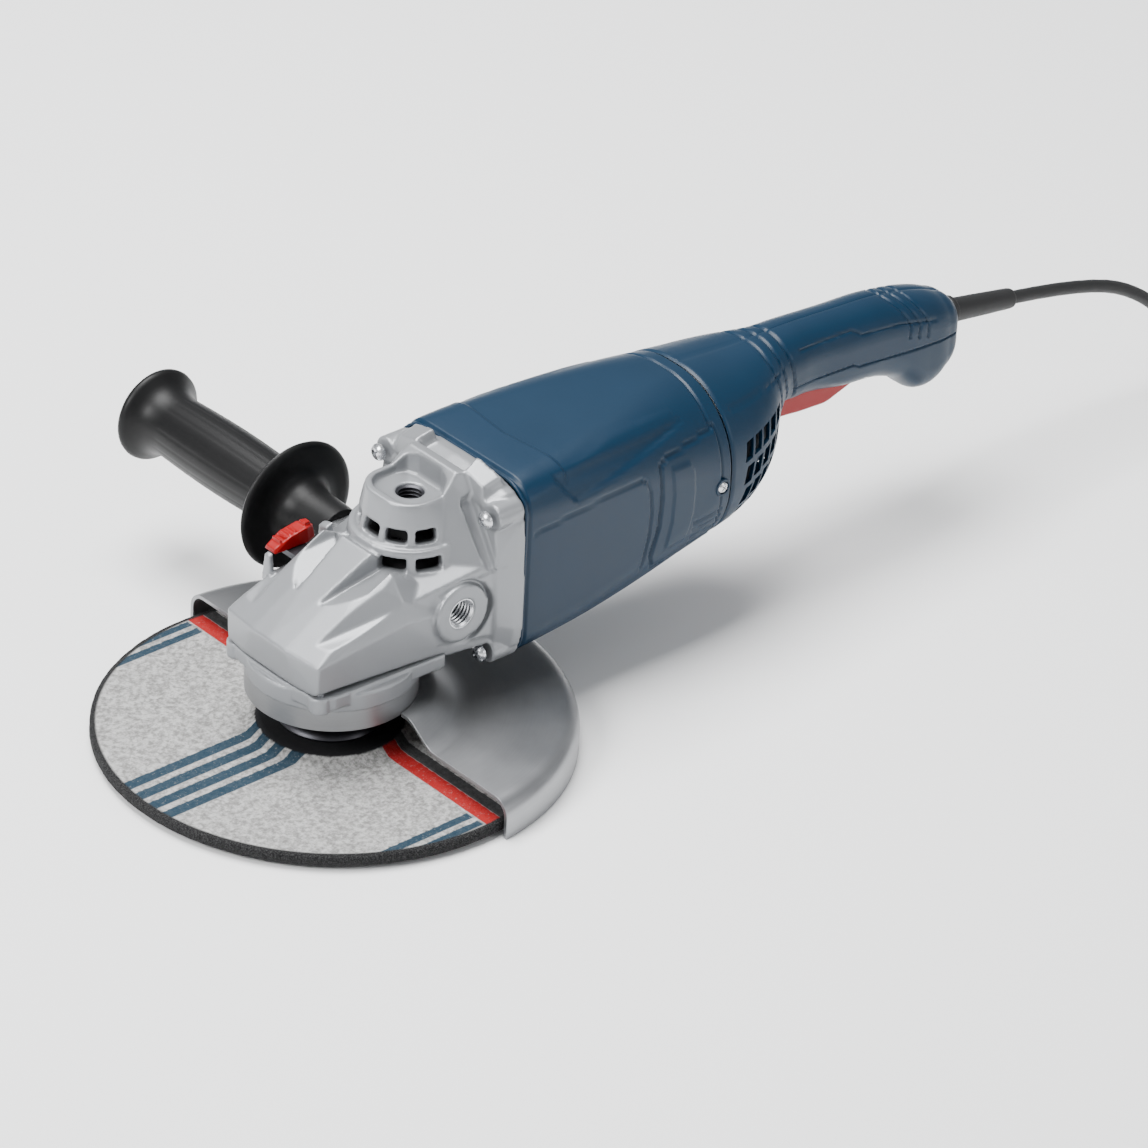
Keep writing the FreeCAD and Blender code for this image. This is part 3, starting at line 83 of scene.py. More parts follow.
# %% Camera
AZIMUTH, ELEVATION, ROLL = map(math.radians, (-42.861, 31.643, 3.067))
EYE = at(-1627.7, -1919.1, 1647)
back = Vector((math.sin(AZIMUTH) * math.cos(ELEVATION), -math.cos(AZIMUTH) * math.cos(ELEVATION),
    math.sin(ELEVATION)))
right = Vector((math.cos(AZIMUTH), math.sin(AZIMUTH), 0))
up = back.cross(right)
right, up = (right * math.cos(ROLL) + up * math.sin(ROLL), up * math.cos(ROLL) - right * math.sin(ROLL))
lens_data = bpy.data.cameras.new("catalogue_camera")
lens_data.lens = 197.37
lens_data.sensor_width = 36
lens_data.clip_start, lens_data.clip_end = 0.1, 30
camera = bpy.data.objects.new("catalogue_camera", lens_data)
camera.matrix_world = Matrix.Translation(EYE) @ Matrix((right, up, back)).transposed().to_4x4()
bpy.context.collection.objects.link(camera)
bpy.context.scene.camera = camera
print("camera", [round(v, 3) for v in EYE])

# %% [markdown]
# ## The mains lead
# A rubber lead is a fixed length of something bendy. It is one smooth spline: straight out of the sleeve,
# down to the floor, then wound into a neat coil with its plug beside it. The turns lie beside and on each
# other a diameter apart, so each turn is a ring of control points at its own radius and height.

# %% Route of the lead
CORD_R = 3.5
SLEEVE_L, SLEEVE_Z, DROP = 48.5, 98.2, math.radians(9.5)
COIL = (645, -73)
POINTS_PER_TURN = 24


def sleeve_point(distance):
    """Point on the sleeve's axis, measured from the tail."""
    return at(TAIL_X + distance * math.cos(DROP), 0, SLEEVE_Z - distance * math.sin(DROP))


def coil_point(turn, radius, height):
    """Point on the coil, turns counted clockwise from its far side."""
    angle = math.pi / 2 - 2 * math.pi * turn
    return at(COIL[0] + radius * math.cos(angle), COIL[1] + radius * math.sin(angle), height)


lanes = [(45.5, 4.7), (38.5, 4.7), (31.5, 4.7), (31.5, 11.7), (38.5, 11.7), (31.5, 18.7), (38.5, 18.7),
    (45.5, 18.7), (45.5, 11.7)]
route = [sleeve_point(SLEEVE_L), at(504, 0, 80.6), at(546, -3, 61), at(572, -10, 30), at(596, -18, 8.5),
    at(621, -26, 4.7)]
CHANGE = 4          # points over which the lead moves from one lane to the next
for number, (radius, height) in enumerate(lanes):
    steps = POINTS_PER_TURN if number + 1 < len(lanes) else POINTS_PER_TURN // 2
    before = lanes[number - 1] if number else lanes[0]
    for step in range(steps):
        share = min(1, (step + 1) / CHANGE)
        route.append(coil_point(number + step / POINTS_PER_TURN, before[0] + (radius - before[0]) * share,
            before[1] + (height - before[1]) * share))
route += [at(COIL[0], COIL[1] - 45.5, 11.7), at(COIL[0] - 28, COIL[1] - 47, 11.8),
    at(COIL[0] - 52, COIL[1] - 45.5, 12), at(COIL[0] - 74, COIL[1] - 45.5, 12)]

lead_curve = bpy.data.curves.new("mains_lead", "CURVE")
lead_curve.dimensions = "3D"
spline = lead_curve.splines.new("NURBS")
spline.points.add(len(route) - 1)
for spot, place in zip(spline.points, route):
    spot.co = (*place, 1)
    spot.radius = CORD_R * MM       # the lead's radius sits on its points, so the box round it stays tight
spline.order_u = 3
spline.use_endpoint_u = True
spline.resolution_u = 6
mains_lead = bpy.data.objects.new("mains_lead", lead_curve)
bpy.context.collection.objects.link(mains_lead)
centre_line = bpy.data.meshes.new_from_object(mains_lead)
lead_curve.bevel_depth = 1
lead_curve.bevel_resolution = 5
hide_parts("cord_tube", "cord_coil")
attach(mains_lead, "housing")

# %% [markdown]
# ## Writing materials as sums
# A node graph is arithmetic drawn as boxes. `Wire` wraps one socket and lets us write the arithmetic as
# Python, so `1 - mask * 0.5` adds the two Math nodes itself. `Finish` is one material: it adds any other
# node from its type, its settings and its inputs.

# %% Wire and Finish
class Wire:
    """One output socket that can be added, multiplied, compared and so on."""

    def __init__(self, finish, socket):
        self.finish = finish
        self.socket = socket

    def maths(self, operation, first, second=None, third=None):
        terms = {i: t for i, t in enumerate((first, second, third)) if t is not None}
        return self.finish.node("ShaderNodeMath", {"operation": operation}, terms).out()

    def __add__(self, other):
        return self.maths("ADD", self, other)

    def __radd__(self, other):
        return self.maths("ADD", other, self)

    def __sub__(self, other):
        return self.maths("SUBTRACT", self, other)

    def __rsub__(self, other):
        return self.maths("SUBTRACT", other, self)

    def __mul__(self, other):
        return self.maths("MULTIPLY", self, other)

    def __rmul__(self, other):
        return self.maths("MULTIPLY", other, self)

    def __truediv__(self, other):
        return self.maths("DIVIDE", self, other)

    def __abs__(self):
        return self.maths("ABSOLUTE", self)

    def __pow__(self, power):
        return self.maths("POWER", self, power)

    def smaller(self, other):
        return self.maths("MINIMUM", self, other)

    def step(self, low, high):
        """0 below low, 1 above high, smooth between; the other way round if low is above high."""
        ramp = self.finish.node("ShaderNodeMapRange", {"interpolation_type": "SMOOTHSTEP"},
            {"Value": self, "From Min": low, "From Max": high})
        return ramp.out()


class Added:
    """A node that was just made."""

    def __init__(self, finish, node):
        self.finish = finish
        self.node = node

    def out(self, name=0):
        return Wire(self.finish, self.node.outputs[name])


class Finish:
    """A material built round one Principled shader."""

    def __init__(self, name, colour, roughness, metallic=0, **shader):
        self.material = bpy.data.materials.new(name)
        self.material.use_nodes = True
        self.tree = self.material.node_tree
        self.shader = self.tree.nodes["Principled BSDF"]
        self.set("Base Color", (*colour, 1))
        self.set("Roughness", roughness)
        self.set("Metallic", metallic)
        for socket, value in shader.items():
            self.set(socket.replace("_", " "), value)

    def set(self, socket, value):
        """Puts a number, a colour or a wire on a socket of the main shader."""
        self.plug(self.shader.inputs[socket], value)

    def plug(self, socket, value):
        if isinstance(value, Wire):
            self.tree.links.new(value.socket, socket)
        else:
            socket.default_value = value

    def node(self, kind, settings=None, inputs=None):
        """Adds one node: settings are set first, then inputs by name or number."""
        made = self.tree.nodes.new(kind)
        for key, value in (settings or {}).items():
            setattr(made, key, value)
        for key, value in (inputs or {}).items():
            self.plug(made.inputs[key], value)
        return Added(self, made)

    def place(self, centre=(0, 0, 0), stretch=(1, 1, 1)):
        """Object coordinates in millimetres from a centre, stretched along each axis."""
        coordinates = self.node("ShaderNodeTexCoord").out("Object")
        moved = self.node("ShaderNodeVectorMath", {"operation": "SUBTRACT"}, {0: coordinates, 1: tuple(centre)})
        scale = tuple(s / MM for s in stretch)
        return self.node("ShaderNodeVectorMath", {"operation": "MULTIPLY"}, {0: moved.out(), 1: scale}).out()

    def parts(self, vector):
        split = self.node("ShaderNodeSeparateXYZ", None, {0: vector})
        return [split.out(i) for i in range(3)]

    def noise(self, vector, per_mm, detail=2, rough=0.5):
        """Soft random pattern; per_mm is how many blotches fit in a millimetre."""
        texture = self.node("ShaderNodeTexNoise", None, {"Vector": vector, "Scale": per_mm, "Detail": detail,
            "Roughness": rough})
        return texture.out("Fac" if "Fac" in texture.node.outputs else 0)

    def mix(self, share, first, second):
        """Colour between two colours."""
        blend = self.node("ShaderNodeMix", {"data_type": "RGBA"})
        for index, value in ((0, share), (6, first), (7, second)):
            if isinstance(value, tuple) and len(value) == 3:
                value = (*value, 1)
            self.plug(blend.node.inputs[index], value)
        return blend.out(2)

    def tint(self, share, colour, dark, light):
        """Base colour that drifts between a darker and a lighter shade of one colour."""
        self.set("Base Color", self.mix(share, shade(colour, dark), shade(colour, light)))

    def bump(self, height, strength, distance):
        """Turns a height pattern into small dents; distance is in metres."""
        dents = self.node("ShaderNodeBump", None, {"Strength": strength, "Distance": distance,
            "Height": height})
        self.set("Normal", dents.out())


def shade(colour, factor):
    return tuple(min(1, c * factor) for c in colour)


# %% [markdown]
# ## The finishes
# The grinder wears few materials, and each tells how it was made: a sprayed casting with a slight orange
# peel, spark-eroded plastic with a fine even grain, ground and pressed steel, moulded rubber.

# %% Plastic, paint and rubber
def moulded(name, colour, roughness, grain=0.25, **shader):
    """Injection-moulded plastic: fine eroded grain and faint colour drift."""
    finish = Finish(name, colour, roughness, **shader)
    spot = finish.place()
    fine = finish.noise(spot, 2.2, 3, 0.6)
    drift = finish.noise(spot, 0.03, 2)
    scuff = finish.noise(finish.place(stretch=(1, 4, 2)), 0.22, 4, 0.7).step(0.62, 0.78)
    finish.tint(drift * 0.6 + fine * 0.25, colour, 0.86, 1.2)
    finish.set("Roughness", roughness - 0.05 + fine * 0.08 + drift * 0.06 - scuff * 0.05)
    finish.bump(fine, grain, 0.00012)
    return finish.material


SOCKET_X, SIDE_SOCKET_Z = 45, 72


def sprayed_casting():
    """Silver-grey paint over a sand-fine casting, with painted shade that darkens the deep inside of the lantern.
    """
    colour = (0.25, 0.258, 0.27)
    finish = Finish("silver_casting_paint", colour, 0.36, 0.45, Coat_Roughness=0.3)
    spot = finish.place()
    flake = finish.noise(spot, 5, 2, 0.7)
    peel = finish.noise(spot, 0.9, 3, 0.55)
    cloud = finish.noise(spot, 0.05, 3)
    tone = cloud * 0.5 + flake * 0.5
    x, y, z = finish.parts(finish.place(centre=AXIS + Vector((SOCKET_X * MM, 0, 0))))
    # Painted shade: the paint turns nearly black deep inside the lantern under the tower, where shade falls; the
    # same mask makes it rougher.
    cone = (x * x + y * y) ** 0.5 + (z - 100) * 0.36
    lantern_painted_shade = cone.step(25.2, 23.4) * z.step(118, 115) * z.step(86, 89)
    painted = finish.mix(tone, shade(colour, 0.9), shade(colour, 1.1))
    finish.set("Base Color", finish.mix(lantern_painted_shade * 0.93, painted, (0.012, 0.012, 0.013)))
    finish.set("Roughness", 0.31 + peel * 0.1 + cloud * 0.05 + lantern_painted_shade * 0.3)
    finish.set("Coat Weight", 0.15)
    finish.bump(peel * 0.7 + flake * 0.3, 0.22, 0.00016)
    return finish.material


def moulded_rubber(name, level):
    colour = (level, level, level * 1.05)
    finish = Finish(name, colour, 0.55)
    spot = finish.place()
    fine = finish.noise(spot, 1.6, 3, 0.6)
    bloom = finish.noise(spot, 0.06, 3).step(0.4, 0.75)
    finish.tint(bloom * 0.5 + fine * 0.3, colour, 0.8, 1.7)
    finish.set("Roughness", 0.48 + bloom * 0.12 + fine * 0.06)
    finish.bump(fine, 0.3, 0.00015)
    return finish.material


paint = sprayed_casting()
blue = moulded("blue_housing_plastic", (0.0001, 0.0165, 0.040), 0.36, Specular_IOR_Level=0.3)
black = moulded("black_plastic", (0.0022, 0.0022, 0.0025), 0.42, Specular_IOR_Level=0.25)
red = moulded("red_plastic", (0.27, 0.0003, 0.0012), 0.3, 0.12, Specular_IOR_Level=0.3)
rubber = moulded_rubber("black_rubber", 0.006)
lead_curve.materials.append(rubber)

# %% [markdown]
# ### Metals
# Turned and ground steel keeps the marks of the tool as fine parallel scratches. A noise that is
# stretched along the cutting direction gives them, and it moves both the gloss and the tiny grooves.

# %% Steels
def steel(name, colour, roughness, stretch=(0.2, 3, 3), depth=0.00006):
    finish = Finish(name, colour, roughness, 1)
    lines = finish.noise(finish.place(stretch=stretch), 1.4, 3, 0.65)
    smear = finish.noise(finish.place(), 0.09, 3)
    finish.tint(lines * 0.5 + smear * 0.5, colour, 0.85, 1.12)
    finish.set("Roughness", roughness - 0.06 + lines * 0.12 + smear * 0.06)
    finish.bump(lines, 0.3, depth)
    return finish.material


def pressed_sheet():
    """Guard: steel sheet ground round the spindle, with faint arcs and handling smears."""
    colour = (0.30, 0.305, 0.315)
    finish = Finish("guard_sheet_steel", colour, 0.34, 0.9)
    spot = finish.place(centre=AXIS)
    x, y, z = finish.parts(spot)
    reach = (x * x + y * y) ** 0.5
    rings = finish.node("ShaderNodeCombineXYZ", None, {0: reach * 3, 1: (y / (reach + 1)) * 6, 2: z})
    arcs = finish.noise(rings.out(), 1, 4, 0.7)
    smear = finish.noise(spot, 0.035, 4, 0.6)
    finish.tint(arcs * 0.4 + smear * 0.6, colour, 0.72, 1.22)
    finish.set("Roughness", 0.27 + arcs * 0.08 + smear * 0.12)
    finish.bump(arcs, 0.2, 0.00006)
    return finish.material


bright_steel = steel("bright_steel", (0.63, 0.64, 0.66), 0.24)
dark_steel = steel("blackened_steel", (0.07, 0.07, 0.078), 0.38)
core_steel = steel("stamped_core_steel", (0.32, 0.32, 0.33), 0.42, (4, 0.3, 0.3))
copper = steel("enamelled_copper", (0.55, 0.20, 0.08), 0.3, (6, 1, 1))
brass = steel("turned_brass", (0.72, 0.52, 0.24), 0.3)
guard_steel = pressed_sheet()
carbon = moulded("pressed_carbon", (0.03, 0.03, 0.033), 0.5)

# %% [markdown]
# ### The wheel's face
# A grinding wheel is resin and grit under glass mesh, with a pale paper label pressed into it while it
# cures, so the grit shows through as speckle. The printed stripes are plain bands in the wheel's own
# coordinates: the distance from the spindle gives the rings, x and y give the straight bands.

# %% Label, stripes and grit
def band(value, centre, half, soft=0.35):
    """1 inside a band round centre, 0 outside."""
    return abs(value - centre).step(half + soft, half - soft)


def wheel_face():
    finish = Finish("wheel_label_and_grit", (0.4, 0.4, 0.39), 0.8, Specular_IOR_Level=0.15)
    spot = finish.place(centre=AXIS)
    x, y, z = finish.parts(spot)
    reach = (x * x + y * y) ** 0.5
    coarse = finish.noise(spot, 0.42, 4, 0.62)
    fine = finish.noise(spot, 1.5, 3, 0.7)
    speck = finish.noise(spot, 0.8, 2, 0.6).step(0.60, 0.72)
    waver = (coarse - 0.5) * 1.2
    edge = reach + waver
    label = edge.step(112.4, 111) * z.step(4.5, 6)
    paper = finish.mix(coarse.step(0.3, 0.7), (0.17, 0.168, 0.163), (0.42, 0.417, 0.41))
    paper = finish.mix(speck * 0.55, paper, (0.14, 0.135, 0.13))
    teal = (0.0015, 0.022, 0.042)
    ahead = (x + waver).step(-22, -24)
    stripes = (band(y + waver, 14.4, 3.1) + band(y + waver, 4.4, 3.1) + band(y + waver, -5.6, 3.1)
        + band(y + waver, -15.6, 3.1)) * ahead
    side = band(y + waver, 101.5, 2.3) + band(y + waver, 109, 2.1)
    side = side + band(y + waver, -101.5, 2.3) + band(y + waver, -109, 2.1)
    side = side * (x + waver).step(2, 0.5)
    ink = (stripes + side).smaller(1) * (1 - speck * 0.35)
    printed = finish.mix(ink * 0.94, paper, teal)
    warning = band(x + waver, 6.6, 4.4)
    printed = finish.mix(warning * (0.96 - speck * 0.3), printed, (0.27, 0.001, 0.0015))
    # Painted shadow: a dark band on the label along the guard's sheared edge, where the guard shades the wheel.
    shadow = band(x + waver, 14.6, 3.4)
    printed = finish.mix(shadow * 0.9, printed, (0.02, 0.02, 0.022))
    disc = edge.step(36.5, 35.5)
    printed = finish.mix(disc, printed, (0.012, 0.012, 0.013))
    grit = finish.mix(fine.step(0.35, 0.75), (0.006, 0.006, 0.007), (0.055, 0.055, 0.055))
    finish.set("Base Color", finish.mix(label, grit, printed))
    finish.set("Roughness", 0.86 - label * 0.14 - disc * label * 0.3)
    relief = coarse * 0.7 + fine * 0.3 + (1 - label) * fine * 0.8
    finish.bump(relief * (1 - disc * label * 0.8), 0.8, 0.0012)
    return finish.material


wheel_material = wheel_face()
print("materials:", len(bpy.data.materials))

# %% [markdown]
# ## Workshop for meshes
# Four small tools make nearly every piece: `turn` spins an outline as a lathe does, `hull` stretches a
# skin over corner points as for a faceted casting, `carve` adds or cuts solids, and `cast` melts joined
# solids into one skin with the soft corners of a die casting.

# %% Turning, faceted solids, boring
def raw(bm, name="blank"):
    """A working object that is not part of the model."""
    mesh = bpy.data.meshes.new(name)
    bm.to_mesh(mesh)
    bm.free()
    thing = bpy.data.objects.new(name, mesh)
    bpy.context.collection.objects.link(thing)
    return thing


def smooth(thing, sharp=None):
    """Smooth shading, with creases where faces meet at more than sharp degrees."""
    thing.data.shade_smooth()
    if sharp:
        thing.data.set_sharp_from_angle(angle=math.radians(sharp))


def tidy(bm):
    bmesh.ops.remove_doubles(bm, verts=bm.verts, dist=1e-6)
    bmesh.ops.recalc_face_normals(bm, faces=bm.faces)


def turn(bm, outline, base, direction=(0, 0, 1), steps=96):
    """Spins an outline of (height, radius) pairs, in mm, round an axis through base."""
    direction = Vector(direction).normalized()
    side = direction.orthogonal().normalized()
    ring = [bm.verts.new(base + direction * h * MM + side * r * MM) for h, r in outline]
    edges = [bm.edges.new(pair) for pair in zip(ring, ring[1:] + ring[:1])]
    bmesh.ops.spin(bm, geom=ring + edges, cent=base, axis=direction, angle=2 * math.pi, steps=steps,
        use_merge=True)
    tidy(bm)


def turned(outline, base, direction=(0, 0, 1), steps=96):
    bm = bmesh.new()
    turn(bm, outline, base, direction, steps)
    return bm


def hull(points):
    """Tight skin over corner points given in mm."""
    bm = bmesh.new()
    corners = [bm.verts.new(at(*p)) for p in points]
    made = bmesh.ops.convex_hull(bm, input=corners)
    spare = list({v for v in made["geom_interior"] + made["geom_unused"] if isinstance(v, bmesh.types.BMVert)})
    bmesh.ops.delete(bm, geom=spare, context="VERTS")
    bmesh.ops.recalc_face_normals(bm, faces=bm.faces)
    return bm


def both(points):
    """The points and their mirror images across the tool's middle."""
    return points + [(x, -y, z) for x, y, z in points]


def prism(outline, low, high, axis="z"):
    """Upright solid on a flat outline; axis names the direction it is drawn along."""
    order = {"z": lambda a, b, c: (a, b, c), "x": lambda a, b, c: (c, a, b), "y": lambda a, b,
        c: (a, c, b)}[axis]
    return hull([order(a, b, c) for a, b in outline for c in (low, high)])


def drum(radius, base, direction, length, steps=48):
    """Closed cylinder on the given axis, in mm."""
    return turned([(0, 0), (0, radius), (length, radius), (length, 0)], at(*base), direction, steps)


def applied(thing):
    """Replaces the mesh by what its modifiers make of it."""
    graph = bpy.context.evaluated_depsgraph_get()
    mesh = bpy.data.meshes.new_from_object(thing.evaluated_get(graph))
    thing.modifiers.clear()
    thing.data = mesh
    return thing


def carve(thing, tools, operation="DIFFERENCE"):
    """Cuts the tools out of a solid, or joins them to it."""
    for bm in tools:
        tool = raw(bm, "cutter")
        step = thing.modifiers.new("carve", "BOOLEAN")
        step.operation = operation
        step.solver = "EXACT"
        step.object = tool
        applied(thing)
        bpy.data.objects.remove(tool)
    return thing


def cast(thing, grain, rounds):
    """One even skin of small squares, smoothed as a die casting's edges are."""
    melt = thing.modifiers.new("melt", "REMESH")
    melt.mode = "VOXEL"
    melt.voxel_size = grain * MM
    melt.adaptivity = 0
    soften = thing.modifiers.new("soften", "SMOOTH")
    soften.factor = 0.5
    soften.iterations = rounds
    applied(thing)
    print(thing.name, "cast in", len(thing.data.polygons), "squares")
    return thing


def finished(thing, name, material, body, stands_for=(), sharp=None):
    """Turns a working object into a piece of the model that rides on a body."""
    thing.name = thing.data.name = name
    thing.data.materials.clear()
    thing.data.materials.append(material)
    smooth(thing, sharp)
    if body:
        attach(thing, body)
    if stands_for:
        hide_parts(*stands_for)
    return thing


def piece(bm, name, material, body="housing", sharp=None, stands_for=()):
    """Makes a bmesh a piece of the model at once."""
    return finished(raw(bm, name), name, material, body, stands_for, sharp)


# %% [markdown]
# ## The wheel
# A depressed-centre wheel is a shallow dish: flat working ring, a step up to the raised hub, and a bore.
# It is moulded in a round die, so it is turned here, and then the raw grit rim is roughened point by point.

# %% Grinding wheel
WHEEL_R, WHEEL_LOW, WHEEL_TOP = 115, 2.1, 8.1
HUB_TOP = 12.7
outline = [(WHEEL_LOW + 4.6, 11.2), (WHEEL_LOW + 4.6, 31), (WHEEL_LOW + 4.2, 34), (WHEEL_LOW + 0.6, 39),
    (WHEEL_LOW, 42.5)]
outline += [(WHEEL_LOW, r) for r in range(50, 114, 4)] + [(WHEEL_LOW + 0.3, 114.2), (WHEEL_LOW + 1.2, WHEEL_R)]
outline += [(z, WHEEL_R) for z in (4.2, 5.4, 6.6)] + [(WHEEL_TOP - 0.5, 114.8), (WHEEL_TOP, 113.8)]
outline += [(WHEEL_TOP, r) for r in range(110, 42, -4)]
outline += [(WHEEL_TOP + 0.4, 41), (HUB_TOP - 0.5, 35.4), (HUB_TOP, 33), (HUB_TOP, 11.2)]
bm = turned(outline, AXIS, steps=240)
for vert in bm.verts:
    spot = vert.co - AXIS
    reach = math.hypot(spot.x, spot.y) / MM
    if reach > 113:
        angle = math.atan2(spot.y, spot.x)
        chip = 0.5 * math.sin(61 * angle) * math.sin(23 * angle + 2) + 0.35 * math.sin(97 * angle
            + spot.z * 900)
        vert.co.xy -= spot.xy.normalized() * (0.35 + 0.4 * abs(chip)) * MM
wheel = piece(bm, "wheel_body", wheel_material, "spindle", 50, ["grinding_wheel"])

bm = turned([(HUB_TOP + 0.1, 13), (HUB_TOP + 0.1, 25.5), (HUB_TOP + 1.2, 26), (HUB_TOP + 3, 25),
    (HUB_TOP + 4.4, 22), (HUB_TOP + 4.4, 13)], AXIS, steps=96)
piece(bm, "wheel_centre_ring", dark_steel, "spindle", 40)
print("wheel", len(wheel.data.polygons), "faces")

# %% [markdown]
# ## The guard
# The guard starts as a disc of steel sheet, pressed into a shallow pan with a rounded shoulder and a
# skirt, then sheared straight just behind the spindle. Spinning the pan and cutting it with
# `bisect_plane` is the same order of work. A bevel of half a millimetre rounds the sheared edge and the other
# sharp edges of the sheet.

# %% Guard hood
GUARD_R, SHEET, GUARD_TOP, EDGE_X = 119, 2, 20.2, 9
SHOULDER = 9


def guard_profile(inset):
    """Half outline of the pan, from the collar out to the foot of the skirt."""
    radius, top = GUARD_R - inset, GUARD_TOP - inset
    bend = SHOULDER - inset
    rows = [(30.5 - inset, 41.8), (30.3 - inset, 47.5), (28.6 - inset, 51), (23 - inset, 59), (top + 0.4, 63.5),
        (top, 68)]
    rows += [(top, r) for r in (78, 88, 98, 106)]
    for i in range(9):
        angle = math.radians(90 * i / 8)
        rows.append((top - bend + bend * math.cos(angle), radius - bend + bend * math.sin(angle)))
    return rows + [(0.2, radius)]


outline = guard_profile(0) + guard_profile(SHEET)[::-1]
bm = turned(outline, AXIS, steps=200)
cut = bmesh.ops.bisect_plane(bm, geom=bm.verts[:] + bm.edges[:] + bm.faces[:], plane_co=at(EDGE_X, 0, 0),
    plane_no=(-1, 0, 0), clear_outer=True)
rim_edges = [e for e in cut["geom_cut"] if isinstance(e, bmesh.types.BMEdge)]
bmesh.ops.holes_fill(bm, edges=rim_edges, sides=0)
tidy(bm)
hood = piece(bm, "guard_hood_sheet", guard_steel, "guard", 35, ["guard_hood"])
edge_round = hood.modifiers.new("edge_round", "BEVEL")
edge_round.width = 0.5 * MM
edge_round.segments = 2
edge_round.limit_method = "ANGLE"
edge_round.angle_limit = math.radians(60)
print("guard", len(hood.data.polygons), "faces")

# %% [markdown]
# ## The gear head
# The head is one aluminium die casting: a sloping nose over the gears, a vented tower with the top handle
# socket, side bosses, and a collar that bolts to the motor housing. Drawing such a skin face by face is
# slow, so the solids a pattern maker would glue together are made as hulls and drums, joined, carved with
# the hollows and slots, and then cast into one softened skin.

# %% Nose and its valleys
FLOOR = 52


def roof(x):
    """Height of the nose's sloping top above the floor, in mm."""
    return 70 + (x + 38) * 0.635


nose = raw(hull(both([(-36.6, 30, FLOOR), (-37, 34, 68.6), (-38.4, 20, 52.2), (-40, 12, 69.6), (-40.2, 0, 70),
    (-38.5, 0, FLOOR), (13, 12.5, roof(13)), (13, 18, roof(13) - 1.5), (13, 27, 97.5), (-10, 26.5, 85.5),
    (13, 34.5, 88), (38, 38, 74), (38, 38, FLOOR), (14, 37.6, 77), (-37, 33.4, 54), (38, 30, 84),
    (14, 10, FLOOR)])), "gear_head")


def valley(side):
    """Wedge cut between the middle rib and an outer rib, deeper towards the tower."""
    tops = [(-17, 8), (20, 11.2), (20, 28), (14, 28), (-6, 26)]
    floors = [(-17, 8, 0.2), (20, 12.4, 13.5), (20, 21, 11.5), (14, 26.5, 0), (-6, 25, 0)]
    points = [(x, side * y, roof(x) + 25) for x, y in tops]
    points += [(x, side * y, roof(x) - depth) for x, y, depth in floors]
    return hull(points)


def outer_wedge(side):
    """Falling facet outside the outer rib, down to the nose's side."""
    points = [(-33, 22.5, roof(-33) + 0.3), (-33, 40, 73), (-12, 24.5, roof(-12) + 0.3), (-12, 33, 80.5),
        (14, 27.5, roof(14) - 3), (14, 36, 86), (-12, 45, 79.5), (14, 48, 84)]
    points = [(x, side * y, z) for x, y, z in points]
    return hull(points + [(x, side * 45, 120) for x in (-33, 14)] + [(x, side * 24, 110) for x in (-12, 14)])


carve(nose, [valley(1), valley(-1), outer_wedge(1), outer_wedge(-1)])
print("nose with valleys:", len(nose.data.polygons), "faces")

# %% Tower, shoulders and collar
TOWER_POINTS = 40


def tower_ring(radius, height, flat=0):
    """Ring of points round the top socket, squared off a little at the back."""
    points = []
    for i in range(TOWER_POINTS):
        angle = 2 * math.pi * i / TOWER_POINTS
        c, s = math.cos(angle), math.sin(angle)
        grow = 1 + flat * (abs(c) * abs(s)) ** 0.8
        points.append((SOCKET_X + radius * grow * c, radius * grow * s, height))
    return points


lower_tier = hull(tower_ring(31.5, 80) + tower_ring(30.8, 92) + tower_ring(28, 103.4, 0.04))
upper_tier = hull(tower_ring(26.3, 100) + tower_ring(24.8, 106) + tower_ring(19.8, 121.5, 0.22)
    + tower_ring(18.6, 124.6, 0.26))
buttress = hull(both([(49, 19, 124.6), (54, 18.6, 129.5), (58.5, 17, 133.5), (64, 18.5, 132.6), (48, 22.5, 112),
    (46, 27, 100), (50, 34.5, 90), (63, 45, 91), (63, 27, 121), (40, 26, 96)]))
shoulders = hull(both([(13, 20, 88), (13, 34, 84), (30, 35, 88), (46, 38.5, 88.5), (62, 41.5, 94),
    (62, 41.5, 60), (13, 34, FLOOR), (40, 38, FLOOR), (62, 41, 47), (62, 20, 102), (30, 20, 95)]))
collar_back = [(0, 131), (14, 130.6), (27, 129.2), (37.5, 126.2), (43.6, 120.6), (46, 112), (46.6, 96),
    (47.4, 76), (47.6, 57), (45.8, 46), (40, 38), (22, 34), (0, 33.5)]
collar_front = [(0, 128.6), (14, 128), (26, 126.4), (35.4, 122.6), (40.6, 114), (43.4, 96), (44.2, 76),
    (44.2, 60), (42.4, 48), (37, 40.6), (20, 36.8), (0, 36.4)]
collar = hull(both([(BLUE_X, y, z) for y, z in collar_back] + [(72.5, y, z) for y, z in collar_back]
    + [(63, y, z) for y, z in collar_front]))
bosses = [drum(15.2, (SOCKET_X, side * 12, SIDE_SOCKET_Z), (0, side, 0), 29) for side in (1, -1)]
skirts = [hull([(33, side * 20, 58), (33, side * 38.2, 58), (33, side * 38.2, 84), (33, side * 20, 84),
    (58, side * 20, 52), (62, side * 42.2, 54), (66, side * 43, 90), (60, side * 20, 92),
    (45, side * 40.2, 87.2), (45, side * 40.2, 56.8)]) for side in (1, -1)]
carve(nose, [lower_tier, upper_tier, buttress, shoulders, collar, *skirts, *bosses], "UNION")
print("joined head:", len(nose.data.polygons), "faces")

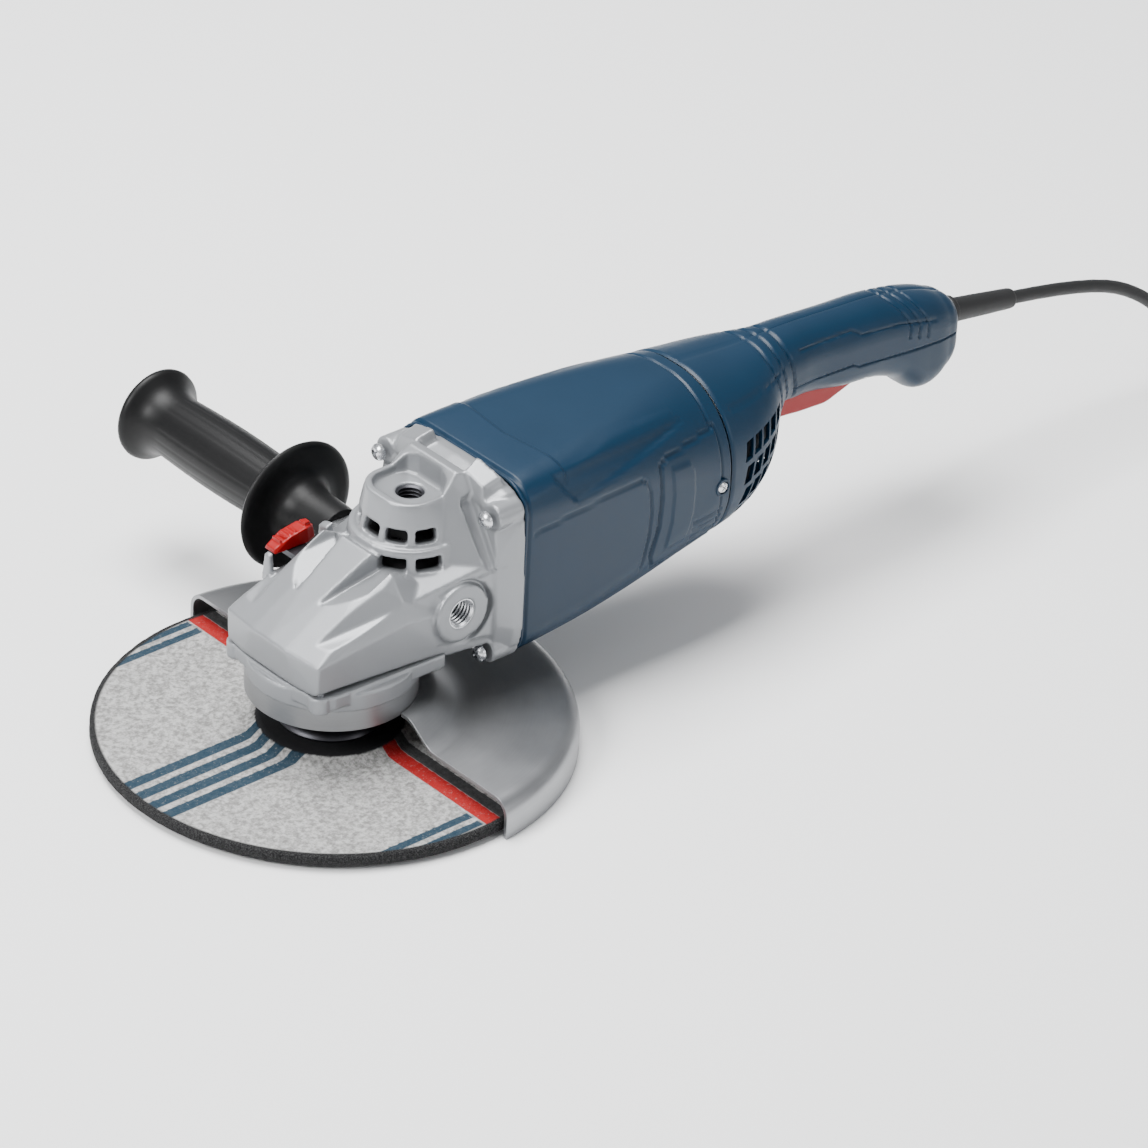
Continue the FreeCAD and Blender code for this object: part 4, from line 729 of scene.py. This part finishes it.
# %% Corner lugs, screw towers and the button's cheeks
extras = []
for side in (1, -1):
    extras.append(hull([(62.5, side * 15, 124.5), (74.5, side * 13, 127.5), (76.5, side * 35, 123.5),
        (62.5, side * 33, 119.5), (63.2, side * 18, 133.6), (72.5, side * 16, 137), (74.5, side * 31, 132.4),
        (63.8, side * 30.5, 129.6)]))
    extras.append(drum(6.6, (61.5, side * 39.2, 118), (1, 0, 0), 16, 32))
    extras.append(drum(6.4, (62, side * 38.8, 44.2), (1, 0, 0), 15.5, 32))
    extras.append(hull([(66, side * 30, 36), (78, side * 30, 34.2), (78, side * 43.4, 42), (66, side * 42, 50),
        (66, side * 30, 50), (78, side * 45, 56)]))
extras.append(hull([(-13, 31.5, 74), (-8.6, 31.5, 74), (-8.6, 38.6, 74), (-13, 38.6, 74), (-12.4, 33.5, 88.6),
    (-9.2, 33.5, 89.4), (-9.2, 37.4, 89.4), (-12.4, 37.4, 88.6)]))
extras.append(hull([(20, 31, 74), (25.5, 31, 74), (25.5, 38.4, 74), (20, 38.4, 74), (20.4, 31, 93.5),
    (24.8, 31, 95.5), (24.8, 37.2, 94), (20.4, 37.2, 92.5)]))
carve(nose, extras, "UNION")

# %% [markdown]
# The hollows come next, in the order a core box would leave them: the fan room and the lantern under the
# tower, two tiers of exhaust slots, the recessed top pad, the threaded sockets, the pocket of the locking
# button, screw pockets and the shallow grooves that outline the side bosses.

# %% Hollows, slots and sockets
def slot_block(angle, low, height, width, reach):
    """Radial block round the tower, its sides running with the radius."""
    a = math.radians(angle)
    out, side = Vector((math.cos(a), math.sin(a), 0)), Vector((-math.sin(a), math.cos(a), 0))
    points = []
    for near, half in ((14, width * 0.32), (reach, width * 0.62)):
        for s in (-half, half):
            for z in (low, low + height):
                spot = out * near + side * s
                points.append((SOCKET_X + spot.x, spot.y, z))
    return hull(points)


hollows = [drum(40.5, (66.5, 0, MOTOR_Z), (1, 0, 0), 13), drum(29, (55, 0, MOTOR_Z), (1, 0, 0), 14),
    hull(tower_ring(25.5, 91) + tower_ring(24, 99.8)), hull(tower_ring(22.2, 99.5) + tower_ring(19, 107)
    + tower_ring(16, 113.5)), hull(both([(46, 15, 96), (46, 15, 110), (68, 15, 96), (68, 15, 110)]))]
carve(nose, hollows)
keep_socket = drum(11, (SOCKET_X, 0, 104), (0, 0, 1), 12)
carve(nose, [keep_socket], "UNION")
slots = [slot_block(a, 93, 6.8, 12.2, 34) for a in (110, 145, 180, 215, 250)]
slots += [slot_block(a, 105, 6.9, 11, 30) for a in (110, 145, 180, 215, 250)]
pad = [(30, 9), (33, 14), (38, 16.6), (50, 17), (55, 14.6), (57.5, 8)]
recess = [prism(pad + [(x, -y) for x, y in pad], 120.4, 140)]
sockets = [drum(7, (SOCKET_X, 0, 106), (0, 0, 1), 20, 40)]
sockets += [drum(7.4, (SOCKET_X, side * 24, SIDE_SOCKET_Z), (0, side, 0), 20, 40) for side in (1, -1)]
pocket = [prism([(-9.6, 25.5), (20, 25.5), (20, 60), (-9.6, 60)], 79.4, 120)]
screw_ways = [drum(5.1, (40, side * 39.2, 118), (1, 0, 0), 22.2, 32) for side in (1, -1)]
screw_ways += [drum(5, (40, side * 38.8, 44.2), (1, 0, 0), 23, 32) for side in (1, -1)]
carve(nose, slots + recess + sockets + pocket + screw_ways)
print("hollowed head:", len(nose.data.polygons), "faces")


# %% Grooves and creases of the side faces
BOSS_GROOVE = 39.4      # how far out the channel beside a boss starts


def ring_groove(side):
    """Shallow round channel beside a boss, open towards the collar."""
    rows = [(BOSS_GROOVE - 1.1, 15.2), (BOSS_GROOVE - 1.1, 17.6), (BOSS_GROOVE + 6, 17.6),
        (BOSS_GROOVE + 6, 15.2)]
    return turned(rows, at(SOCKET_X, 0, SIDE_SOCKET_Z), (0, side, 0), 64)


grooves = [ring_groove(1), ring_groove(-1)]
for side in (1, -1):
    grooves.append(hull([(50, side * 39.6, 86.6), (50, side * 39.6, 88.2), (69, side * 42, 92.4),
        (69, side * 42, 93.4), (50, side * 48, 86.6), (50, side * 48, 88.6), (69, side * 48, 92.2),
        (69, side * 48, 93.6)]))
    grooves.append(hull([(56, side * 22.5, 119), (62.4, side * 23, 120.5), (62.4, side * 41.5, 90),
        (57.6, side * 43, 89), (57, side * 60, 92), (62.4, side * 60, 92), (57, side * 60, 135),
        (62.4, side * 60, 135), (57, side * 26, 135), (62.4, side * 26, 135)]))
carve(nose, grooves)
HEAD_GRAIN = 0.84       # size of the squares of the cast skin, in mm
finished(cast(nose, HEAD_GRAIN, 3), "gear_head_casting", paint, "housing", ["gear_housing"])

# %% [markdown]
# Threads are cut after casting. A real thread is a helix, but inside a blind socket a stack of fine
# turned ridges reads the same and stays light, so the top socket and the open right-hand socket each get a
# threaded steel liner.

# %% Threaded liners
def thread_liner(name, mouth, direction, depth, radius, metal):
    rows = [(0, radius + 1), (0, radius + 0.1)]
    pitch = 2
    for i in range(int(depth / pitch)):
        start = -i * pitch - 0.3
        rows += [(start, radius + 0.1), (start - 0.8, radius - 1.15), (start - 1.2, radius - 1.15),
            (start - 1.9, radius + 0.1)]
    rows += [(-depth, radius + 0.1), (-depth, 0), (-depth - 1, 0), (-depth - 1, radius + 1)]
    piece(turned(rows, at(*mouth), direction, 48), name, metal, "housing", 40)


thread_liner("top_socket_thread", (SOCKET_X, 0, 119.6), (0, 0, 1), 13, 7, dark_steel)
thread_liner("right_socket_thread", (SOCKET_X, -40.6, SIDE_SOCKET_Z), (0, -1, 0), 14, 7.2, bright_steel)
print("threads done")

# %% [markdown]
# ## The bearing flange
# Below the nose a flat flange closes the gear room. Its outline follows the nose, four small screws with
# socket heads hold its corners, here each a boss with a round pocket, and a turned neck carries the guard's
# clamp.

# %% Flange plate and the head's screws
plate_line = [(-39, 12), (-37.4, 26), (-34.6, 34.6), (-28, 37), (20, 38.6), (37, 39), (40, 34)]
flange = raw(prism(plate_line + [(x, -y) for x, y in plate_line], 44.4, 51.6), "flange")
carve(flange, [drum(42, (0, 0, 40.2), (0, 0, 1), 9.5, 96)], "UNION")
corners = ((-32.5, 30.5), (-32.5, -30.5), (34, 32.5), (34, -32.5))
carve(flange, [drum(5.6, (x, y, 43.2), (0, 0, 1), 8.4, 32) for x, y in corners], "UNION")
holes = [drum(4.2, (x, y, 40), (0, 0, 1), 8, 24) for x, y in corners]
cast(carve(flange, holes + [drum(20.5, (0, 0, 38), (0, 0, 1), 20, 64)]), 0.6, 3)
finished(flange, "flange_plate", paint, "housing", ["bearing_flange"])


def cross_screw(name, tip, direction, radius, height):
    """Pan-head screw with a cross recess cut by two crossed wedges."""
    rows = [(0, 0), (0, radius), (height * 0.45, radius), (height * 0.8, radius * 0.8), (height, radius * 0.42),
        (height * 1.02, 0)]
    head_blank = raw(turned(rows, at(*tip), direction, 32))
    along = Vector(direction)
    first = along.orthogonal().normalized()
    second = along.cross(first)
    for wide, thin in ((first, second), (second, first)):
        bm = bmesh.new()
        base = at(*tip) + along * height * 0.35 * MM
        for a in (-1, 1):
            for b in (-1, 1):
                bm.verts.new(base + wide * a * radius * 0.3 * MM + thin * b * radius * 0.09 * MM)
                bm.verts.new(base + along * height * MM + wide * a * radius * 0.62 * MM
                    + thin * b * radius * 0.12 * MM)
        bmesh.ops.convex_hull(bm, input=bm.verts)
        bmesh.ops.recalc_face_normals(bm, faces=bm.faces)
        carve(head_blank, [bm])
    return finished(head_blank, name, bright_steel, "housing", sharp=35)


for number, (y, z) in enumerate(((39.2, 118), (-39.2, 118), (38.8, 44.2), (-38.8, 44.2))):
    screw = cross_screw(f"head_screw_{number}", (59.2, y, z), (-1, 0, 0), 4.3, 3.2)
    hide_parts("housing_screws")
print("flange and head screws done")

# %% [markdown]
# ## The motor housing
# The blue housing is one plastic tube, nearly square at the gear head and almost round at the handle. A
# moulded skin like this flows, so it is laid out as a dense grid: one direction runs along the motor and
# the other round it. The rings between the drawn sections are blended, and the shallow panel lines, the
# grooves and the stepped edges are added as relief, as a mould maker cuts them into the finished cavity.

# %% Sections along the motor
SECTIONS = [(78, 46.2, 34.8, 129.8, 15.5), (86, 46.7, 35, 130.6, 17), (100, 47.1, 35.4, 131.4, 19),
    (120, 47.3, 36, 132.4, 22), (140, 47.3, 36.8, 133.4, 26), (165, 46.9, 38.4, 134.2, 31),
    (190, 46.4, 40.3, 134.4, 37), (211.6, 46, 42, 133.6, 42)]
HANDLE = [(211.6, 46.2, 41.8, 133.8, 42), (225.6, 44.6, 44.4, 132.6, 41.5), (239.6, 41, 51, 131.4, 37.5),
    (251.6, 34.6, 62, 130.6, 31), (260.6, 27, 77, 130.4, 24), (269.6, 21.6, 87.8, 130.2, 20),
    (285.6, 18.9, 90, 129.8, 17.6), (319.6, 18.3, 84.6, 127.6, 17.6), (345.6, 18.6, 81.2, 125.6, 17.4),
    (356.5, 18.8, 77, 123.8, 17.4), (371.5, 18.3, 66, 120.6, 16.4), (386.5, 16.6, 69.6, 115.4, 14.4),
    (395.5, 13, 79, 110.4, 11), (399, 8.4, 88, 105.6, 7)]


def section_at(table, x):
    """Half width, low, high and corner radius at x, blended smoothly between the drawn sections."""
    places = np.array([row[0] for row in table])
    values = np.array([row[1:] for row in table])
    slopes = np.gradient(values, places, axis=0)
    i = np.clip(np.searchsorted(places, x) - 1, 0, len(places) - 2)
    step = places[i + 1] - places[i]
    t = ((x - places[i]) / step)[:, None]
    h00, h10 = 2 * t ** 3 - 3 * t ** 2 + 1, t ** 3 - 2 * t ** 2 + t
    h01, h11 = -2 * t ** 3 + 3 * t ** 2, t ** 3 - t ** 2
    step = step[:, None]
    return h00 * values[i] + h10 * step * slopes[i] + h01 * values[i + 1] + h11 * step * slopes[i + 1]


def ring_points(share, half, low, high, corner):
    """Points round rounded rectangles; share 0 is the bottom middle, going round by +y."""
    height = high - low
    corner = np.minimum(corner, np.minimum(half, height / 2) * 0.999)
    flat, tall = half - corner, height / 2 - corner
    arc = corner * math.pi / 2
    total = flat * 2 + tall * 2 + arc * 2
    run = np.where(share <= 0.5, share, 1 - share) * 2 * total
    side = np.where(share <= 0.5, 1, -1)
    a = np.clip(run, 0, flat)
    b = np.clip(run - flat, 0, arc) / corner
    c = np.clip(run - flat - arc, 0, tall * 2)
    d = np.clip(run - flat - arc - tall * 2, 0, arc) / corner
    e = np.clip(run - flat - 2 * arc - tall * 2, 0, flat)
    y = a + corner * np.sin(b) - corner * (1 - np.cos(d)) - e
    z = low + corner * (1 - np.cos(b)) + c + corner * np.sin(d)
    return side * y, z


print("sections:", len(SECTIONS), "and", len(HANDLE))

# %% [markdown]
# Relief is a height in millimetres for every grid point. `dent` gives a soft-edged line along a path and
# `plate` a soft-edged area inside an outline, both drawn on the side of the housing (x along, z up).

# %% Lines and areas of relief
def nearest(x, z, path):
    """Distance from each point to a polyline drawn on the side."""
    best = np.full(x.shape, 1e9)
    for (x0, z0), (x1, z1) in zip(path, path[1:]):
        dx, dz = x1 - x0, z1 - z0
        t = np.clip(((x - x0) * dx + (z - z0) * dz) / (dx * dx + dz * dz), 0, 1)
        best = np.minimum(best, np.hypot(x - x0 - t * dx, z - z0 - t * dz))
    return best


def dent(x, z, path, half, depth):
    """Groove along a path, with sloping sides."""
    return -depth * np.clip((half - nearest(x, z, path)) / (half * 0.5), 0, 1)


def inside(x, z, outline):
    """True for points inside a closed outline."""
    hit = np.zeros(x.shape, bool)
    for (x0, z0), (x1, z1) in zip(outline, outline[1:] + outline[:1]):
        crosses = (z0 > z) != (z1 > z)
        edge = x0 + (z - z0) / np.where(z1 == z0, 1e-9, z1 - z0) * (x1 - x0)
        hit ^= crosses & (x < edge)
    return hit


def plate(x, z, outline, soft):
    """1 well inside the outline, 0 outside, sloping over soft millimetres."""
    gap = nearest(x, z, outline + outline[:1])
    return np.where(inside(x, z, outline), np.clip(gap / soft, 0, 1), 0)


CROWD = 0.45        # how much closer the rings' points lie on the sides, where the relief is


def rolled(name, table, x_from, x_to, columns, rings, relief, material, stands_for):
    """Dense grid rolled into a tube along the sections, with relief, closed by inner walls."""
    bm = bmesh.new()
    bmesh.ops.create_grid(bm, x_segments=columns, y_segments=rings, size=1)
    mesh = bpy.data.meshes.new(name)
    bm.to_mesh(mesh)
    bm.free()
    flat = np.empty(len(mesh.vertices) * 3)
    mesh.vertices.foreach_get("co", flat)
    flat = flat.reshape(-1, 3)
    x = x_from + (flat[:, 0] + 1) / 2 * (x_to - x_from)
    share = (flat[:, 1] + 1) / 2
    share += CROWD * np.sin(4 * math.pi * share) / (4 * math.pi)
    rows = section_at(table, x)
    y, z = ring_points(share, *rows.T)
    y2, z2 = ring_points((share + 0.002) % 1, *rows.T)
    y1, z1 = ring_points((share - 0.002) % 1, *rows.T)
    along = np.stack([y2 - y1, z2 - z1], 1)
    along /= np.linalg.norm(along, axis=1)[:, None] + 1e-12
    lift = relief(x, y, z)
    y = y + along[:, 1] * lift
    z = z - along[:, 0] * lift
    co = np.stack([x, y, z], 1) * MM + np.array([AXIS.x, AXIS.y, 0])
    mesh.vertices.foreach_set("co", co.ravel())
    bm = bmesh.new()
    bm.from_mesh(mesh)
    bpy.data.meshes.remove(mesh)
    bmesh.ops.remove_doubles(bm, verts=bm.verts, dist=2e-5)
    bmesh.ops.recalc_face_normals(bm, faces=bm.faces)
    thing = piece(bm, name, material, "housing", None, stands_for)
    wall = thing.modifiers.new("wall", "SOLIDIFY")
    wall.thickness = 2.2 * MM
    wall.offset = -1
    print(name, len(thing.data.polygons), "faces before its wall")
    return thing


# %% Relief of the motor housing
wedge = [(97, 127.4), (101, 122), (106, 115), (110, 113.2), (149, 119), (187, 124.6), (187, 126.4),
    (150, 126.8), (120, 127.6)]
panel = [(83.5, 104.6), (98, 106.6), (112, 108.2), (140, 110.2), (150, 110.4), (154.5, 107.5), (157.2, 101),
    (158.4, 90), (157.6, 78), (153.4, 60)]
cover = [(204, 117.6), (185, 116.4), (168, 115.2), (163.4, 113), (163.8, 104), (164.6, 95.5), (163.6, 80),
    (158.5, 64.5), (161.5, 57), (182, 55), (205, 56.5)]
badge = [(169.6, 109.6), (182.6, 109), (185.6, 103.6), (186.6, 92), (186, 80), (182, 66), (167, 65), (171, 80),
    (171.6, 95)]


def housing_relief(x, y, z):
    sides = np.abs(y) > 20
    lift = -1.5 * plate(x, z, wedge, 1.6) * sides
    lift += dent(x, z, panel, 0.85, 0.9) * sides
    lift += dent(x, z, cover + cover[:1], 0.8, 1) * sides
    lift += 0.7 * plate(x, z, cover, 1.2) * sides
    lift += 0.7 * plate(x, z, badge, 1.1) * sides
    top = np.clip((z - 118) / 6, 0, 1) * np.clip((44 - np.abs(y)) / 5, 0, 1)
    step = 103 + 0.10 * np.abs(y)
    lift += top * 0.9 * np.clip((step - x) / 1.4, 0, 1) * np.clip((x - 80) / 1, 0, 1)
    rear = 203.5 - 0.05 * np.abs(y)
    lift -= np.clip((z - 60) / 10, 0, 1) * 0.8 * np.clip((1.1 - np.abs(x - rear)) / 0.6, 0, 1) * (z > 117.5)
    crease = 122 + 8 * np.clip((x - 78) / 62, 0, 1)
    lift += 0.5 * np.clip(1 - np.abs(z - crease) / 2.2, 0, 1) * (np.abs(y) > 30) * np.clip((200 - x) / 20, 0, 1)
    lift -= 0.9 * np.clip((0.9 - np.abs(x - 80.2)) / 0.5, 0, 1)
    lift -= 1.2 * np.clip((x - 210.7) / 0.5, 0, 1)
    ribs = (z < 74) & (x > 186) & (x < 207) & sides
    lift -= ribs * 0.9 * np.clip((0.9 - np.abs((z - 58) % 4.4 - 2.2)) / 0.5, 0, 1) * (z > 59)
    return lift


rolled("motor_housing_skin", SECTIONS, BLUE_X, SEAM_X - 0.15, 228, 212, housing_relief, blue,
    ["motor_housing", "brush_cover_left", "brush_cover_right"])

# %% [markdown]
# The vents behind the seam cool the motor: five slanted columns of four slots, cut right through both
# sides. Each slot is a small leaning block, taken out of the finished skin with its wall.

# %% Relief of the rear handle
GROOVES = (257.6, 265.2, 272.8)


def handle_relief(x, y, z):
    lift = np.zeros(x.shape)
    fall = np.clip(128 - z, 0, 60)
    for start in GROOVES:
        line = start + fall * 0.12 + 0.0022 * fall ** 2
        reach = np.clip((z - 96) / 4, 0, 1)
        lift -= 1 * np.clip((1.25 - np.abs(x - line)) / 0.8, 0, 1) * reach
    seam = np.clip((0.45 - np.abs(y)) / 0.35, 0, 1) * 0.5
    lift -= seam * (x > 214)
    waist = [(276, 104), (300, 103.4), (318, 103), (322, 100.6), (345, 99), (372, 96.6), (392, 95)]
    lift += dent(x, z, waist, 0.7, 0.7) * (np.abs(y) > 8)
    upper = [(282, 122.5), (318, 121), (324, 117.6), (350, 115), (376, 109)]
    lift += dent(x, z, upper, 0.7, 0.6) * (np.abs(y) > 6)
    for offset in (0, 6.5, 13):
        rear = [(346 + offset, 128), (353 + offset, 121 - offset * 0.25), (357 + offset, 113 - offset * 0.3),
            (356 + offset, 106 - offset * 0.3)]
        lift += dent(x, z, rear, 0.9, 0.8) * (z > 100)
    lift -= 0.9 * np.clip((213 - x) / 0.5, 0, 1)
    frame_line = [(219, 120), (262, 119)]
    lift += dent(x, z, frame_line, 0.7, 0.6) * (np.abs(y) > 12)
    return lift


def vent(column, row, side):
    """One leaning slot through the side."""
    x = 223.6 + 7 * column
    low = 56 + 3.5 * column + row * (12.6 - 0.6 * column)
    tall = 11 - 0.6 * column
    lean = 2
    points = []
    for y in (side * 20, side * 60):
        for dx, z in ((-2.7, low), (2.7, low + 1), (-2.7 + lean, low + tall - 1), (2.7 + lean, low + tall)):
            points.append((x + dx, y, z))
    return hull(points)


handle_skin = rolled("rear_handle_skin", HANDLE, SEAM_X + 0.35, 399, 224, 176, handle_relief, blue,
    ["handle_shell_left", "handle_shell_right"])
applied(handle_skin)
block = bmesh.new()
for side in (1, -1):
    for column in range(5):
        for row in range(4):
            part = vent(column, row, side)
            mesh = bpy.data.meshes.new("slot")
            part.to_mesh(mesh)
            part.free()
            block.from_mesh(mesh)
            bpy.data.meshes.remove(mesh)
well = [(274.5, 60), (338, 60), (338, 90), (318, 96), (274.5, 96)]
carve(handle_skin, [block, prism(well, -8.4, 8.4, "y")])
smooth(handle_skin, 40)
print("handle", len(handle_skin.data.polygons), "faces")

# %% [markdown]
# ## The side handle
# The side handle is a round moulding over a threaded stud: a broad disc keeps the hand off the wheel, the
# grip swells a little in the palm and the end flares out. It is turned in one outline, and shallow flutes
# are then pressed into the grip alone, as its mould has them.

# %% Side grip
outline = [(49, 7.2), (49, 11.6), (49.6, 13), (55, 13.3), (70, 13.8), (76, 14.8), (79.4, 16.8), (81, 20),
    (81.6, 25), (81.8, 29.5), (82.2, 32), (83, 33.2), (84.2, 33.6), (85.2, 33), (85.9, 31.4), (86.2, 28),
    (86.6, 22.5), (88.2, 19), (91, 17.2), (95, 16.4)]
outline += [(float(h), 16.2 + 1 * math.sin(math.pi * (h - 98) / 76)) for h in range(98, 175, 2)]
outline += [(177, 16.4), (181, 17), (184.6, 18.4), (187.4, 20.6), (189.4, 22.8), (190.6, 23.9), (192, 24.2),
    (193.2, 23.9), (194.1, 23), (194.5, 21.6), (194.4, 19.6), (193.6, 18.6), (193.3, 14), (193.4, 6),
    (193.6, 4.6), (192.4, 4), (192.2, 0), (104, 0), (104, 7.2)]
bm = turned(outline, at(SOCKET_X, 0, SIDE_SOCKET_Z), (0, 1, 0), 144)
for vert in bm.verts:
    spot = vert.co - at(SOCKET_X, 0, SIDE_SOCKET_Z)
    reach = math.hypot(spot.x, spot.z) / MM
    y = spot.y / MM
    if 97 < y < 176 and reach > 12:
        angle = math.atan2(spot.z, spot.x)
        fade = min(1, (y - 97) / 5, (176 - y) / 5)
        depth = 0.16 * fade * max(0, math.cos(18 * angle)) ** 3
        vert.co.x -= spot.x / (reach * MM) * depth * MM
        vert.co.z -= spot.z / (reach * MM) * depth * MM
side_handle = piece(bm, "side_handle_grip", black, "housing", 42, ["side_grip"])
print("side handle", len(side_handle.data.polygons), "faces")

# %% [markdown]
# ## The spindle lock's button
# The red button is a thumb pad with a raised nose at one end and grip ridges, so a gloved thumb finds it.
# It is a stack of hulls melted together; the ridges are small bars left standing proud.

# %% Lock button
button = raw(hull([(-8.4, 34, 87.7), (-8.4, 42, 87.7), (11.6, 33.4, 87.7), (17.4, 35.8, 87.7),
    (17.4, 40.2, 87.7), (11.6, 42.8, 87.7), (-8, 35, 90), (-8, 41, 90), (1, 33.8, 94.2), (1, 42.2, 94.2),
    (11, 34, 95.8), (16.2, 36.2, 94.6), (16.2, 39.8, 94.6), (11, 42, 95.8)]), "button")
bumps = [hull([(10, 34.8, 92), (15.4, 35.6, 92), (15.4, 40.4, 92), (10, 41.2, 92), (11, 35.8, 97.4),
    (14.6, 36.4, 97), (14.6, 39.6, 97), (11, 40.2, 97.4)])]
bumps += [prism([(x, 35), (x + 1.1, 35), (x + 1.1, 41), (x, 41)], 89, 94.6 + 0.24 * x)
    for x in (-4.6, -1.6, 1.4, 4.4)]
cast(carve(button, bumps, "UNION"), 0.35, 3)
finished(button, "lock_button_pad", red, "lock", ["lock_button"])

# %% [markdown]
# ## The trigger
# The paddle under the rear handle is a long red lever. Its finger face is hollowed a little and carries
# fine cross grooves; the moulding is one hull, a little narrower than the slot it moves in.

# %% Trigger paddle
TRIGGER_X = 276
paddle_line = [(TRIGGER_X, 82.4), (TRIGGER_X + 2, 81.4), (TRIGGER_X + 18, 79.6), (TRIGGER_X + 34, 78.7),
    (TRIGGER_X + 37, 79.2), (TRIGGER_X + 44, 83.8), (336, 86.5), (336, 93), (324, 94), (TRIGGER_X, 94)]
paddle = raw(hull([(x, y, z) for x, z in paddle_line for y in (-7, 7)]
    + [(x, y, z + 1.4) for x, z in paddle_line[:7] for y in (-7.9, 7.9)]
    + [(x, y, z) for x, z in paddle_line[7:] for y in (-7.9, 7.9)]), "paddle")
ridges = [hull([(x, y, z) for x, z in ((g, 76), (g + 1.1, 76), (g + 0.9, 80.9 - (g - TRIGGER_X) * 0.052),
    (g + 0.2, 80.9 - (g - TRIGGER_X) * 0.052)) for y in (-5.6, 5.6)]) for g in range(284, 308, 4)]
ridges.append(prism([(326, 80), (338, 80), (338, 96), (326, 96)], -4.5, 4.5, "y"))
carve(paddle, ridges)
cast(paddle, 0.5, 3)
finished(paddle, "trigger_paddle", red, "trigger", ["trigger"])

# %% [markdown]
# ## The sleeve on the lead
# The rubber sleeve stops the lead from kinking where it leaves the handle. It has a collar behind the wall,
# a bead in front of it, and a smooth body that thins towards its tip so that it bends evenly.

# %% Bend sleeve
outline = [(-7, 3.6), (-7, 8.8), (-4, 8.8), (-4, 6.3), (0.4, 6.3), (0.4, 7.6), (1, 8), (3.4, 8), (4.2, 7.4),
    (4.4, 6.4)]
outline += [(10, 6.2), (20, 6), (30, 5.8)]
outline += [(42, 5.5), (46.6, 5.35), (48, 5.1), (SLEEVE_L, 4.6), (SLEEVE_L, 3.6)]
direction = Vector((math.cos(DROP), 0, -math.sin(DROP)))
bm = turned(outline, sleeve_point(0), direction, 72)
sleeve = piece(bm, "bend_sleeve_rubber", rubber, "housing", 38, ["bend_sleeve"])
print("sleeve", len(sleeve.data.polygons), "faces")

# %% [markdown]
# ## Screws of the motor housing
# A brush can be reached by taking off the small cover, held by one screw in a round pocket; more screws
# clamp the two halves of the handle. The two cover screws are turned here, and a crossed recess is cut into each.

# %% Cover screws
for side in (1, -1):
    rows = [(-0.5, 4.7), (0, 4.4), (0, 3.4), (-1.2, 3.3), (-1.2, 0), (-3, 0), (-3, 4.7)]
    piece(turned(rows, at(205, side * 47.4, 86.7), (0, side, 0), 48), f"cover_screw_seat_{side}", blue,
        "housing", 30)
    screw = cross_screw(f"cover_screw_{side}", (205, side * 45.6, 86.7), (0, side, 0), 3.2, 2.2)
    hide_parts("cover_screws")
print("screws done")

# %% [markdown]
# ## Finishes for the pieces that stay as built
# Everything inside, and the plain fittings outside, keeps its measured shape and takes a finish by what
# it is made of. The loop reads each piece's own finish from the record.

# %% Dress the remaining nodes
finishes = {"cast_alloy": paint, "blue_housing": blue, "black_plastic": black, "red_plastic": red,
    "steel": bright_steel, "guard_steel": guard_steel, "dark_steel": dark_steel, "abrasive": wheel_material,
    "copper": copper, "laminations": core_steel, "rubber": rubber, "brass": brass, "carbon": carbon}
for entry in frame["record"]["subparts"]:
    thing = nodes[entry["node"]]
    if not thing.material_slots:
        thing.data.materials.append(None)
    for place in thing.material_slots:
        place.material = finishes[entry["material_slot"]]

# %% [markdown]
# ## Floor and light
# A tool like this is shown on a plain pale ground under large soft lamps: one broad lamp overhead, a
# strong one from the left front that draws the long highlight on the housing, and a weaker fill.

# %% Studio
ground = bmesh.new()
bmesh.ops.create_grid(ground, x_segments=1, y_segments=1, size=6)
ground_finish = Finish("studio_floor", (0.86, 0.865, 0.87), 0.9)
tone = ground_finish.noise(ground_finish.place(), 0.002, 2)
ground_finish.set("Base Color", ground_finish.mix(tone, (0.86, 0.865, 0.865), (0.89, 0.89, 0.89)))
floor = piece(ground, "studio_floor", ground_finish.material, body=None)


def lamp(name, place, aim, size, power):
    """Square soft lamp at place, aimed at a point."""
    data = bpy.data.lights.new(name, "AREA")
    data.size = size
    data.energy = power
    thing = bpy.data.objects.new(name, data)
    thing.matrix_world = (Matrix.Translation(place) @ (Vector(place) - Vector(aim)).to_track_quat("Z",
        "Y").to_matrix().to_4x4())
    bpy.context.collection.objects.link(thing)


lamp("overhead_lamp", (-0.1, 0.5, 2.2), (0, 0, 0.05), 1.5, 118)
lamp("left_lamp", (-2, 0.2, 1.5), (0, 0, 0.05), 0.9, 60)
lamp("right_fill", (0.9, -2.2, 1), (0.05, 0, 0.05), 1, 12)
world = bpy.data.worlds.new("studio_air")
world.use_nodes = True
world.node_tree.nodes["Background"].inputs["Color"].default_value = (0.95, 0.97, 1, 1)
world.node_tree.nodes["Background"].inputs["Strength"].default_value = 0.5
bpy.context.scene.world = world
